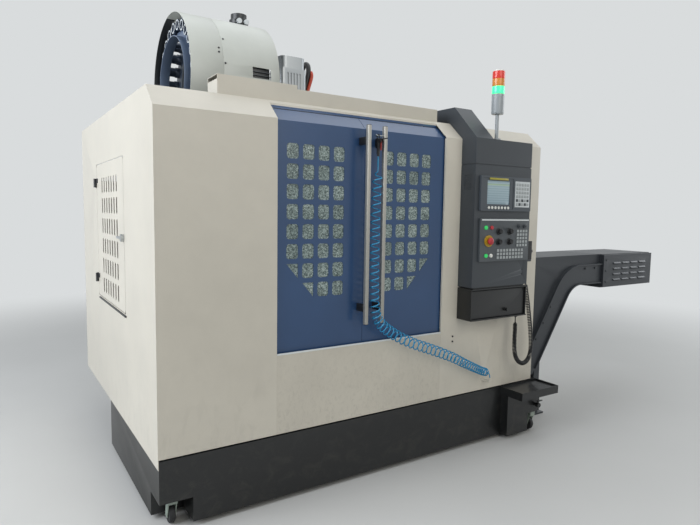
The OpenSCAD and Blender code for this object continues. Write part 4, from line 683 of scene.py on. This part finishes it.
class MACHINE_OT_air_hose(bpy.types.Operator):
    """Coiled air hose, stretched between the handles and slack below them"""
    bl_idname = "machine.air_hose"
    bl_label = "Air hose"

    def execute(self, context):
        size = context.scene.hose_settings

        def radius(s):
            # Drawn in at both ends, and wider in the slack part
            ends = smooth(s / FADE) * smooth((1 - s) / FADE)
            slack = smooth(s / 0.3) * (1 - smooth((s - 0.5) / 0.12))
            return ends * (size.coil_radius + slack * (size.slack_radius - size.coil_radius))

        def pitch(s):
            # Bunched at the outlet, open in the slack part, closer at the bend, open between the handles
            return (16 + 20 * smooth(s / 0.26) - 8 * smooth((s - 0.42) / 0.1) + 8 * smooth((s - 0.55) / 0.08)
                    + 8 * smooth((s - 0.6) / 0.35)) * MM

        line = places([HOSE_START, HOSE_NECK])
        line += coil(places(HOSE_ROUTE), radius, pitch, steps=14)
        line += places([HOSE_RISE, HOSE_END])
        hose = swept_curve("coiled_air_hose", line, size.tube / 2, MATERIALS["hose_blue"])
        pick(hose)
        bpy.ops.object.convert(target="MESH")
        hose = context.object
        pick(hose)
        enter_edit()
        bpy.ops.mesh.remove_doubles(threshold=0.00001)
        bpy.ops.mesh.normals_make_consistent(inside=False)
        leave_edit()
        smooth_below(50)
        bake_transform(hose)
        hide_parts("air_hose")
        return {"FINISHED"}


class MACHINE_OT_pendant_cord(bpy.types.Operator):
    """Curly cord of the hand pendant, hanging in a loop below the console"""
    bl_idname = "machine.pendant_cord"
    bl_label = "Pendant cord"

    def execute(self, context):
        size = context.scene.cord_settings

        def radius(s):
            return size.coil_radius * smooth(s / FADE) * smooth((1 - s) / FADE)

        def pitch(s):
            # A quarter wider where the cord hangs from the pendant
            return size.pitch * (1 + 0.25 * smooth((s - 0.45) / 0.3))

        line = [at(*CORD_START)] + coil(places(CORD_ROUTE), radius, pitch, steps=12) + places(CORD_RISE)
        cord = swept_curve("pendant_curly_cord", line, size.tube / 2, MATERIALS["black_plastic"])
        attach(cord, "machine_frame")
        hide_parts("pendant_cord")
        return {"FINISHED"}


# Sheet metal, castings and trim: slot, edge radius in mm and the CAD nodes
FINISHES = (
    ("cast_paint", 3.0, ("base_casting", "column")),
    ("dark_sheet", 1.2, ("coolant_tank", "conveyor_case", "conveyor_cover")),
    ("castor_fork", 0.8, ("castor_left", "castor_right")),
    ("castor_rubber", 1.0, ("wheel_left", "wheel_right")),
    ("cream_paint", 1.0, ("left_panel", "left_wall", "front_sill", "right_cabinet", "top_cover", "side_door",
                          "electrical_cabinet")),
    ("tray_steel", 0.8, ("work_tray",)),
    ("console_paint", 1.2, ("console_body", "console_hood", "storage_box", "storage_flap")),
    ("gearbox_iron", 2.0, ("magazine_frame",)),
    ("pot_plastic", 0.0, ("magazine_disc",)),
    ("arm_steel", 1.0, ("changer_arm",)),
    ("table_iron", 0.6, ("table", "spindle", "screw_x", "screw_y", "screw_z")),
    ("motor_alloy", 1.0, ("spindle_motor",)),
    ("bellows_fabric", 0.0, ("head_bellows",)),
    ("blue_paint", 0.8, ("door_left", "door_right")),
    ("window_glass", 0.5, ("pane_left", "pane_right")),
    ("black_plastic", 1.0, ("side_latch", "feed_knob", "rapid_knob", "speed_knob", "mode_knob",
                            "pendant", "pendant_wheel", "air_gun")),
    ("stop_red", 0.6, ("emergency_stop", "power_off")),
    ("button_green", 0.6, ("power_on", "cycle_start")),
    ("button_white", 0.6, ("feed_hold",)),
    ("trigger_red", 0.8, ("gun_trigger",)),
    ("display_grey", 1.0, ("display_unit",)),
    ("lamp_column", 1.0, ("signal_tower",)),
    ("cast_paint", 1.2, ("saddle", "spindle_head")),
    ("black_plastic", 1.2, ("operator_panel",)),
)

# Pieces whose look differs from the rest of their slot
LOOKS = {"coolant_tank": "tank_paint", "front_sill": "worn_cream", "operator_panel": "panel_face",
         "storage_box": "tank_paint", "storage_flap": "tank_paint", "side_latch": "bolt_zinc"}

# The magazine's front end along x, and the y and z of its axis
MAGAZINE_X, MAGAZINE_Y, MAGAZINE_Z = 400, 1152, 2303


def paint_console(done):
    """Screen, keys and lamps inside the console's pieces."""
    display, keys, tower = done["display_unit"], done["operator_panel"], done["signal_tower"]
    front = in_mm(low("display_unit")).y
    # The raised pad under the keys, the round buttons below the screen, and the glass in its recess
    paint(display, "key_plate", lambda c, n: c.x > 2146 and c.y < front + 2.9 and 1540 < c.z < 1706)
    paint(display, "button_white", lambda c, n: c.x < 2130 and c.y < front + 3.4 and 1528 < c.z < 1548)
    paint(display, "screen", lambda c, n: n.y < -0.9 and c.y > front + 5 and 1911 < c.x < 2105
          and SCREEN_LOW < c.z < SCREEN_HIGH)
    # The keys, the plain strip above them, the two selector switches and the emergency stop's ring
    stop_x, stop_z, stop_r = 1933, 1336, 40
    paint(keys, "key_cap", lambda c, n: n.y < -0.5 and c.y < -134.2)
    paint(keys, "clip_white", lambda c, n: c.y < -133.2 and 1459 < c.z < 1470)
    paint(keys, "dark_key", lambda c, n: c.y < -136)
    paint(keys, "stop_yellow", lambda c, n: c.y < -133 and math.hypot(c.x - stop_x, c.z - stop_z) < stop_r)
    # The tower's three lenses from the lowest up, and its cap
    lamp_low, lamp_step = 2229, 45
    for k, name in enumerate(("lens_green", "lens_amber", "lens_red")):
        z = lamp_low + k * lamp_step
        paint(tower, name, lambda c, n, z=z: z < c.z <= z + lamp_step)
    paint(tower, "button_white", lambda c, n: c.z > lamp_low + 3 * lamp_step + 0.5)


def paint_machine(done):
    """Hinges, bolts, clips and motors inside the machine's pieces."""
    # The hinge halves stand out from the left side
    for node in ("side_door", "left_wall"):
        paint(done[node], "hinge_black", lambda c, n: c.x < -1.5)
    # The motor above the gearbox, and its two cable sockets
    paint(done["magazine_frame"], "motor_black", lambda c, n: c.z > 2565)
    paint(done["magazine_frame"], "clip_white", lambda c, n: 2780 < c.z < 2826 and c.y < 1283)
    # The pots' white clips on the rim, and a painted highlight on their mouths, the faces turned to the
    # light
    clip_r, mouth_highlight_x = 378.5, 431
    paint(done["magazine_disc"], "clip_white",
          lambda c, n: math.hypot(c.y - MAGAZINE_Y, c.z - MAGAZINE_Z) > clip_r
          or (c.x < mouth_highlight_x and n.x < -0.9))
    # The top of the spindle motor, and the bolts of the conveyor
    cap_z = in_mm(high("spindle_motor")).z - 26
    paint(done["spindle_motor"], "motor_black", lambda c, n: c.z > cap_z)
    paint(done["conveyor_case"], "bolt_zinc", lambda c, n: abs(c.y - 12) < 1 and n.y < -0.9)
    paint(done["conveyor_cover"], "bolt_zinc", lambda c, n: c.y < -5.5 and c.x < 3400)


class MACHINE_OT_finishes(bpy.types.Operator):
    """Finished copies of the CAD pieces, with rounded edges and their paint"""
    bl_idname = "machine.finishes"
    bl_label = "Painted pieces"

    def execute(self, context):
        done = {}
        for slot, width, nodes in FINISHES:
            for node in nodes:
                look = MATERIALS[LOOKS.get(node, slot)]
                done[node] = finish_node(node, look, width * MM)
        paint_console(done)
        paint_machine(done)
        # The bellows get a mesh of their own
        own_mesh(done["head_bellows"])
        return {"FINISHED"}


class MACHINE_OT_keypad(bpy.types.Operator):
    """Key caps of the display unit and the strip above its screen"""
    bl_idname = "machine.keypad"
    bl_label = "Keypad"

    def execute(self, context):
        # Front of the pad that the caps stand on, and how far they stand proud of it and reach into it
        face, proud, sunk = -135.0, 1.8, 0.4
        first_x, first_z, key_w, key_h = 2159, 1553, 19, 17
        columns, rows, pitch_x, pitch_z = 5, 6, 24.6, 24.2
        caps = {"key_cap": [], "dark_key": []}
        for i in range(columns):
            for k in range(rows):
                dark = k < 2 and (i + k) % 2 == 1
                caps["dark_key" if dark else "key_cap"].append((i * pitch_x, k * pitch_z))
        for name, spots in caps.items():
            dx, dz = spots[0]
            x, z = first_x + dx, first_z + dz
            cap = plate((x, face - proud, z), (x + key_w, face + sunk, z + key_h), 1.2 * MM)
            join(repeated(cap, [(sx - dx, 0, sz - dz) for sx, sz in spots[1:]]))
            new_piece("keypad_" + name, "machine_frame", "display_grey", name)
        strip_x0, strip_x1, strip_z0, strip_z1 = 1924, 2086, 1705, 1717
        plate((strip_x0, -135.2, strip_z0), (strip_x1, -133.6, strip_z1), 0.4 * MM)
        new_piece("plain_yellow_strip", "machine_frame", "display_grey", "film_yellow")
        return {"FINISHED"}


class MACHINE_OT_handles(bpy.types.Operator):
    """Square tube handles of the doors on their stand-offs, with plugged ends and the gun's hook"""
    bl_idname = "machine.handles"
    bl_label = "Door handles"

    def execute(self, context):
        half = context.scene.handle_settings.tube / MM / 2
        left_x, right_x = 1090, 1195
        # Places from front to back of the tube's back face and of the door's sheet
        back, door = -48.0, 17.6
        front = back - 2 * half
        foot_z, head_z = 894, 1955
        standoff_w, standoff_h, standoff_places = 22, 40, (960, 1856)
        for side, x in (("left", left_x), ("right", right_x)):
            body, node = "door_" + side, "handle_" + side
            plate((x - half, front, foot_z), (x + half, back, head_z), 3 * MM, 3)
            tube = new_piece("tube_" + node, body, "handle_alloy")
            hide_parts(node)
            plugs = [plate((x - half + 2, front + 2, z), (x + half - 2, back - 2, z + 3), 0.8 * MM)
                     for z in (foot_z - 2, head_z - 1)]
            feet = [plate((x - standoff_w / 2, back - 0.6, z), (x + standoff_w / 2, door, z + standoff_h),
                          2 * MM) for z in standoff_places]
            join(plugs + feet)
            new_piece("standoffs_" + node, body, "black_plastic")
        # The hook is a rod from the tube towards the gun, with a collar on its free end
        x, y, z, radius = 1138, -60, 1905, 3
        reach = right_x - half - x + 1
        join([shaft((x, y, z), (1, 0, 0), radius * MM, reach * MM, 16),
              shaft((x - 2, y, z), (1, 0, 0), (radius + 4) * MM, 3 * MM, 24, 0.8 * MM)])
        new_piece("gun_hook", "door_right", "handle_alloy", "bolt_zinc")
        return {"FINISHED"}


def drum(radius, x0, x1, vertices=240):
    """Open drum round the magazine's axis, from x0 to x1 mm."""
    bpy.ops.object.select_all(action="DESELECT")
    bpy.ops.mesh.primitive_cylinder_add(vertices=vertices, radius=radius * MM, depth=(x1 - x0) * MM,
                                        end_fill_type="NOTHING", rotation=(0, math.pi / 2, 0),
                                        location=at((x0 + x1) / 2, MAGAZINE_Y, MAGAZINE_Z))
    settle()
    return bpy.context.object


def turn_of(spot):
    """Angle round the magazine's axis in degrees, 0 at the back and 90 at the top."""
    return math.degrees(math.atan2(spot.z - MAGAZINE_Z, spot.y - MAGAZINE_Y)) % 360


def select_faces(obj, test):
    """Goes into edit mode with the faces selected that pass a test on their middle in mm."""
    enter_edit("DESELECT")
    leave_edit()
    for face in obj.data.polygons:
        face.select = test(in_mm(face.center))
    bpy.ops.object.mode_set(mode="EDIT")


def drop_faces(obj, test):
    """Deletes the faces that pass a test on their middle in mm."""
    select_faces(obj, test)
    bpy.ops.mesh.delete(type="FACE")
    leave_edit()


def thicken(obj, wall, edge):
    """Gives an open shell its wall in mm, inwards, and rounds its rims."""
    pick(obj)
    modifier(obj, "SOLIDIFY", thickness=wall * MM, offset=-1)
    round_rims(obj, edge * MM)
    smooth_below(30)


# The rolled cover's radius, its two edges as angles, and its opening along x and round the axis
COVER_R, COVER_FIRST, COVER_LAST = 413, 75, 226
OPEN_X0, OPEN_X1, OPEN_FROM, OPEN_TO = 780, 900, 171, 180


class MACHINE_OT_magazine(bpy.types.Operator):
    """Rolled cover of the tool magazine with its slatted opening, the drum that carries the pots and
    the hoop behind them"""
    bl_idname = "machine.magazine"
    bl_label = "Tool magazine"

    def execute(self, context):
        self.cover(context.scene.magazine_settings.sheet / MM)
        self.slats()
        self.screws()
        self.drum_and_hoop()
        return {"FINISHED"}

    def cover(self, sheet):
        """Rolled sheet with a pressed seam and its opening."""
        seam, half, depth, length = 597, 1.5, 1.5, 560
        cover = drum(COVER_R, MAGAZINE_X, MAGAZINE_X + length)
        bpy.ops.object.mode_set(mode="EDIT")
        for x in (seam - half, seam + half, OPEN_X0, OPEN_X1):
            bpy.ops.mesh.select_all(action="SELECT")
            bpy.ops.mesh.bisect(plane_co=at(x, 0, 0), plane_no=(1, 0, 0))
        leave_edit()
        drop_faces(cover, lambda c: not COVER_FIRST < turn_of(c) < COVER_LAST
                   or (OPEN_FROM < turn_of(c) < OPEN_TO and OPEN_X0 < c.x < OPEN_X1))
        select_faces(cover, lambda c: abs(c.x - seam) < half)
        bpy.ops.mesh.extrude_region_move()
        shrink = 1 - depth / COVER_R
        bpy.ops.transform.resize(value=(1, shrink, shrink),
                                 center_override=at(seam, MAGAZINE_Y, MAGAZINE_Z))
        leave_edit()
        thicken(cover, sheet, 0.6)
        cover = new_piece("rolled_magazine_cover", "machine_frame", "cover_paint")
        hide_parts("magazine_cover")

    def slats(self):
        """Two slats across the opening, and a dark sheet behind them that paints the shade inside the
        opening.
        """
        axis = at(OPEN_X0, MAGAZINE_Y, MAGAZINE_Z)
        inner, outer, half = MAGAZINE_Y + 398, MAGAZINE_Y + 409.4, 1
        join([turn_x(plate((OPEN_X0 - 4, inner, MAGAZINE_Z - half), (OPEN_X1 + 4, outer, MAGAZINE_Z + half),
                           0.5 * MM), axis, math.radians(turn)) for turn in (174.4, 177.4)])
        new_piece("cover_slats", "machine_frame", "cover_paint", "gearbox_iron")
        # A black sheet standing for the shade inside the opening: painted shade
        shade_sheet = drum(398, OPEN_X0 + 3, OPEN_X1 - 3)
        drop_faces(shade_sheet, lambda c: not OPEN_FROM - 1 < turn_of(c) < OPEN_TO + 1)
        thicken(shade_sheet, 2, 0.4)
        new_piece("opening_backing", "machine_frame", "cover_paint", "motor_black")

    def screws(self):
        """Four small screws beside the seam, by x and angle."""
        screws = []
        for x, turn in ((612, 149.3), (575, 159.0), (573, 162.8), (607, 171.7)):
            way = (0, math.cos(math.radians(turn)), math.sin(math.radians(turn)))
            foot = (x, MAGAZINE_Y + way[1] * (COVER_R - 1), MAGAZINE_Z + way[2] * (COVER_R - 1))
            screws.append(shaft(foot, way, 6 * MM, 4 * MM, 16, 1.2 * MM))
        join(screws)
        new_piece("cover_screws", "machine_frame", "cover_paint", "hinge_black")

    def drum_and_hoop(self):
        """Inner drum in front of the disc, and the hoop behind the pots with its bar to the frame."""
        # Each shell has its radius, front and back, then its wall and the edge of its rims
        hub = drum(276, MAGAZINE_X + 4, MAGAZINE_X + 66, 96)
        thicken(hub, 6, 1.5)
        web = drum(309.5, MAGAZINE_X + 54, MAGAZINE_X + 60, 96)
        thicken(web, 34, 1.0)
        join([hub, web])
        new_piece("pot_drum", "magazine_disc", "pot_plastic", "drum_enamel")
        hoop = drum(410, MAGAZINE_X, MAGAZINE_X + 52)
        drop_faces(hoop, lambda c: 79 < turn_of(c) < 337)
        thicken(hoop, 3, 0.6)
        frame_x, half, tail = 594, 14, math.radians(-21)
        axis = at(MAGAZINE_X, MAGAZINE_Y, MAGAZINE_Z)
        # Bar and foot: where each starts along x, and its inner and outer radius
        arms = [turn_x(plate((x0, MAGAZINE_Y + inner, MAGAZINE_Z - half),
                             (frame_x, MAGAZINE_Y + outer, MAGAZINE_Z + half), 1.0 * MM), axis, tail)
                for x0, inner, outer in ((MAGAZINE_X + 1, 399, 408), (frame_x - 22, 382, 400))]
        join([hoop, *arms])
        new_piece("pot_hoop", "machine_frame", "gearbox_iron", "motor_black")


class MACHINE_OT_conduits(bpy.types.Operator):
    """Bent conduits beside the spindle motor, a black one and an orange one in front of it"""
    bl_idname = "machine.conduits"
    bl_label = "Conduits"

    def execute(self, context):
        foot = in_mm(low("head_hoses")).z + 0.3
        rise = foot + 120
        black = [(1273, 1170, foot), (1275, 1171, rise), (1300, 1173, 2330), (1330, 1168, 2450),
                 (1340, 1150, 2515), (1342, 1110, 2540), (1340, 1070, 2515), (1330, 1052, 2450),
                 (1300, 1049, 2330), (1275, 1050, rise), (1273, 1050, foot)]
        orange = [(1273, 1125, foot), (1276, 1122, rise), (1302, 1108, 2330), (1340, 1086, 2430),
                  (1352, 1060, 2478), (1350, 1034, 2440), (1312, 1022, 2330), (1278, 1020, rise),
                  (1273, 1020, foot)]
        for name, route, width, finish in (("black_conduit", black, 34, "black_plastic"),
                                           ("orange_conduit", orange, 22, "conduit_orange")):
            line = resample(places(route), 0.012) + places(route[-1:])
            tube = swept_curve(name, line, width / 2 * MM, MATERIALS[finish], resolution=5)
            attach(tube, carrier("head_hoses"))
            if name == "black_conduit":
                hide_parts("head_hoses")
        return {"FINISHED"}


class MACHINE_OT_small_trim(bpy.types.Operator):
    """Two screws on the right jamb, a white strip that paints the highlight of the sill's edge, and the
    strips above the doors
    """
    bl_idname = "machine.small_trim"
    bl_label = "Small trim"

    def execute(self, context):
        join([shaft((1788, 0.5, z), (0, -1, 0), 5.5 * MM, 5 * MM, 20, 1.2 * MM) for z in (741, 709)])
        new_piece("jamb_screws", "machine_frame", "black_plastic")
        x0, x1 = 593, 1689
        # White strip along the sill's lip, a painted highlight of its edge, which hides the doors' lowest 9
        # mm
        hidden = 9
        door_z = in_mm(low("door_left")).z
        plate((x0, -1.2, door_z), (x1, 0.6, door_z + hidden), 0.3 * MM)
        new_piece("sill_edge", "machine_frame", "cream_paint", "clip_white")
        # Strips in the slope's plane, each from its lower edge (y, mm below the top) to its upper edge
        top, thick = in_mm(high("left_panel")).z, 2
        for name, finish, foot, head in (("blue_head_strip", "blue_paint", (90.6, 40.5), (94.6, 26.5)),
                                         ("cream_head_strip", "cream_paint", (94.6, 26.0), (98.4, 15.6))):
            back, up = head[0] - foot[0], foot[1] - head[1]
            strip = plate((x0, 0, 0), (x1, thick, math.hypot(back, up)), 0.5 * MM)
            turn_x(strip, at(x0, 0, 0), -math.atan2(back, up))
            strip.data.transform(Matrix.Translation(Vector((0, foot[0], top - foot[1])) * MM))
            new_piece(name, "machine_frame", finish)
        return {"FINISHED"}


# Camera and stage

CAMERA_PLACE = (-625, -2531, 1500)
CAMERA_YAW, CAMERA_PITCH, CAMERA_ROLL = 33.06, 5.15, 0.89
CAMERA_LENS, SENSOR_WIDTH = 28.97, 36

# Colour of the pale background, and the distances in metres between which the floor runs into it
BACKDROP = "#d9dcdd"
FLOOR_NEAR, FLOOR_FAR = 3.2, 7.5

# Soft lights: name, place, side in metres, the setting that gives the power, a factor and the colour
LIGHTS = (
    ("window_left", (-6.0, -0.6, 3.6), 4.0, "window_power", 1.0, "#f4f8ff"),
    ("window_front", (-0.5, -7.0, 4.2), 4.5, "front_power", 1.15, "#fffaf2"),
    ("sky_above", (0.5, -0.5, 6.5), 6.0, "front_power", 1.2, "#f6faff"),
    ("window_right", (6.5, -2.0, 3.0), 3.0, "front_power", 0.8, "#f6faff"),
)
# The point that they face
LIT_POINT = (0.0, 0.0, 1.2)


class StageSettings(bpy.types.PropertyGroup):
    """Floor and light of the stage"""
    floor: bpy.props.FloatVectorProperty(name="Floor colour", description="Colour of the plain floor",
                                         default=linear("#c9c9c6")[:3], subtype="COLOR", size=3,
                                         min=0, max=1)
    window_power: bpy.props.FloatProperty(name="Window light", default=300.0, min=0, max=5000,
                                          description="Power of the soft light at the left")
    front_power: bpy.props.FloatProperty(name="Front light", default=110.0, min=0, max=5000,
                                         description="Power of the soft light in front")


class MACHINE_OT_camera(bpy.types.Operator):
    """Camera at the photograph's place"""
    bl_idname = "machine.camera"
    bl_label = "Camera"

    def execute(self, context):
        bpy.ops.object.camera_add(location=at(*CAMERA_PLACE))
        camera = context.object
        yaw, pitch, roll = (math.radians(a) for a in (CAMERA_YAW, CAMERA_PITCH, CAMERA_ROLL))
        way = Vector((math.sin(yaw) * math.cos(pitch), math.cos(yaw) * math.cos(pitch), -math.sin(pitch)))
        right = Vector((math.cos(yaw), -math.sin(yaw), 0))
        up = right.cross(way)
        side = math.cos(roll) * right + math.sin(roll) * up
        top = -math.sin(roll) * right + math.cos(roll) * up
        camera.rotation_euler = Matrix((side, top, -way)).transposed().to_euler()
        camera.data.sensor_width = SENSOR_WIDTH
        camera.data.lens = CAMERA_LENS
        camera.data.clip_end = 60
        context.scene.camera = camera
        return {"FINISHED"}


def seen_ray(tree):
    """1 for the rays that show the background: straight, mirrored or through glass."""
    path = add(tree, "LightPath")
    seen = add(tree, "Math", {0: (path, "Is Camera Ray"), 1: (path, "Is Glossy Ray")}, operation="MAXIMUM")
    seen = add(tree, "Math", {0: (seen, "Value"), 1: (path, "Is Transmission Ray")}, operation="MAXIMUM")
    return seen, "Value"


def floor_material(colour):
    """Smooth concrete: pale, faintly clouded, running into the background far from the machine."""
    material, tree, place = new_material("smooth_concrete")
    cloud = add(tree, "TexNoise", {"Vector": place, "Scale": 0.8, "Detail": 4.0})
    base = tuple(colour) + (1.0,)
    tone = add(tree, "ValToRGB", {"Fac": (cloud, "Fac")}, ((0.3, scaled(base, 0.95)), (0.7, base)))
    shader = add(tree, "BsdfPrincipled", {"Base Color": (tone, "Color"), "Roughness": 0.6})
    away = add(tree, "VectorMath", {0: place}, operation="LENGTH")
    far = add(tree, "MapRange", {"Value": (away, "Value"), "From Min": FLOOR_NEAR, "From Max": FLOOR_FAR},
              interpolation_type="SMOOTHSTEP")
    amount = add(tree, "Math", {0: (far, "Result"), 1: seen_ray(tree)}, operation="MULTIPLY")
    distance = add(tree, "Emission", {"Color": linear(BACKDROP)})
    both = add(tree, "MixShader", {0: (amount, "Value"), 1: (shader, "BSDF"), 2: (distance, "Emission")})
    add(tree, "OutputMaterial", {"Surface": (both, "Shader")})
    return material


def make_world(scene):
    """Dim fill light from all sides, and the pale background where it is seen."""
    world = bpy.data.worlds.new("hall")
    scene.world = world
    world.use_nodes = True
    tree = world.node_tree
    tree.nodes.clear()
    fill = add(tree, "Background", {"Color": linear("#e8edf2"), "Strength": 0.34})
    back = add(tree, "Background", {"Color": linear(BACKDROP), "Strength": 1.0})
    both = add(tree, "MixShader", {0: seen_ray(tree), 1: (fill, "Background"), 2: (back, "Background")})
    add(tree, "OutputWorld", {"Surface": (both, "Shader")})


class MACHINE_OT_stage(bpy.types.Operator):
    """Pale floor, soft lights and pale background"""
    bl_idname = "machine.stage"
    bl_label = "Stage"

    def execute(self, context):
        settings = context.scene.stage_settings
        bpy.ops.mesh.primitive_plane_add(size=60)
        floor = context.object
        floor.name = "floor"
        floor.data.materials.append(floor_material(settings.floor))
        for name, place, side, setting, factor, colour in LIGHTS:
            bpy.ops.object.light_add(type="AREA", location=place)
            lamp = context.object
            lamp.name = name
            lamp.data.size = side
            lamp.data.energy = getattr(settings, setting) * factor
            lamp.data.color = linear(colour)[:3]
            way = Vector(LIT_POINT) - Vector(place)
            lamp.rotation_euler = way.to_track_quat("-Z", "Y").to_euler()
        make_world(context.scene)
        context.scene.view_settings.view_transform = "Standard"
        return {"FINISHED"}


class MACHINE_PT_panel(bpy.types.Panel):
    """Lists the pieces of the machine"""
    bl_idname = "MACHINE_PT_panel"
    bl_label = "Machining centre"
    bl_space_type = "VIEW_3D"
    bl_region_type = "UI"
    bl_category = "Machine"

    def draw(self, context):
        for operator in OPERATORS:
            self.layout.operator(operator.bl_idname)
        for group in GROUPS:
            settings = getattr(context.scene, group)
            for name in settings.__annotations__:
                self.layout.prop(settings, name)


GROUPS = {"hose_settings": HoseSettings, "cord_settings": CordSettings, "handle_settings": HandleSettings,
          "magazine_settings": MagazineSettings, "stage_settings": StageSettings}
OPERATORS = (MACHINE_OT_camera, MACHINE_OT_finishes, MACHINE_OT_air_hose, MACHINE_OT_pendant_cord,
             MACHINE_OT_keypad, MACHINE_OT_handles, MACHINE_OT_magazine, MACHINE_OT_conduits,
             MACHINE_OT_small_trim, MACHINE_OT_stage)


def register():
    for group in GROUPS.values():
        bpy.utils.register_class(group)
    for name, group in GROUPS.items():
        setattr(bpy.types.Scene, name, bpy.props.PointerProperty(type=group))
    for cls in (*OPERATORS, MACHINE_PT_panel):
        bpy.utils.register_class(cls)


def unregister():
    for cls in (MACHINE_PT_panel, *reversed(OPERATORS)):
        bpy.utils.unregister_class(cls)
    for name, group in GROUPS.items():
        delattr(bpy.types.Scene, name)
        bpy.utils.unregister_class(group)


def main():
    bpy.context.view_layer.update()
    register()
    bpy.ops.machine.camera()
    bpy.ops.machine.finishes()
    bpy.ops.machine.air_hose()
    bpy.ops.machine.pendant_cord()
    bpy.ops.machine.keypad()
    bpy.ops.machine.handles()
    bpy.ops.machine.magazine()
    bpy.ops.machine.conduits()
    bpy.ops.machine.small_trim()
    bpy.ops.machine.stage()
    bpy.context.view_layer.update()


if __name__ == "__main__":
    main()
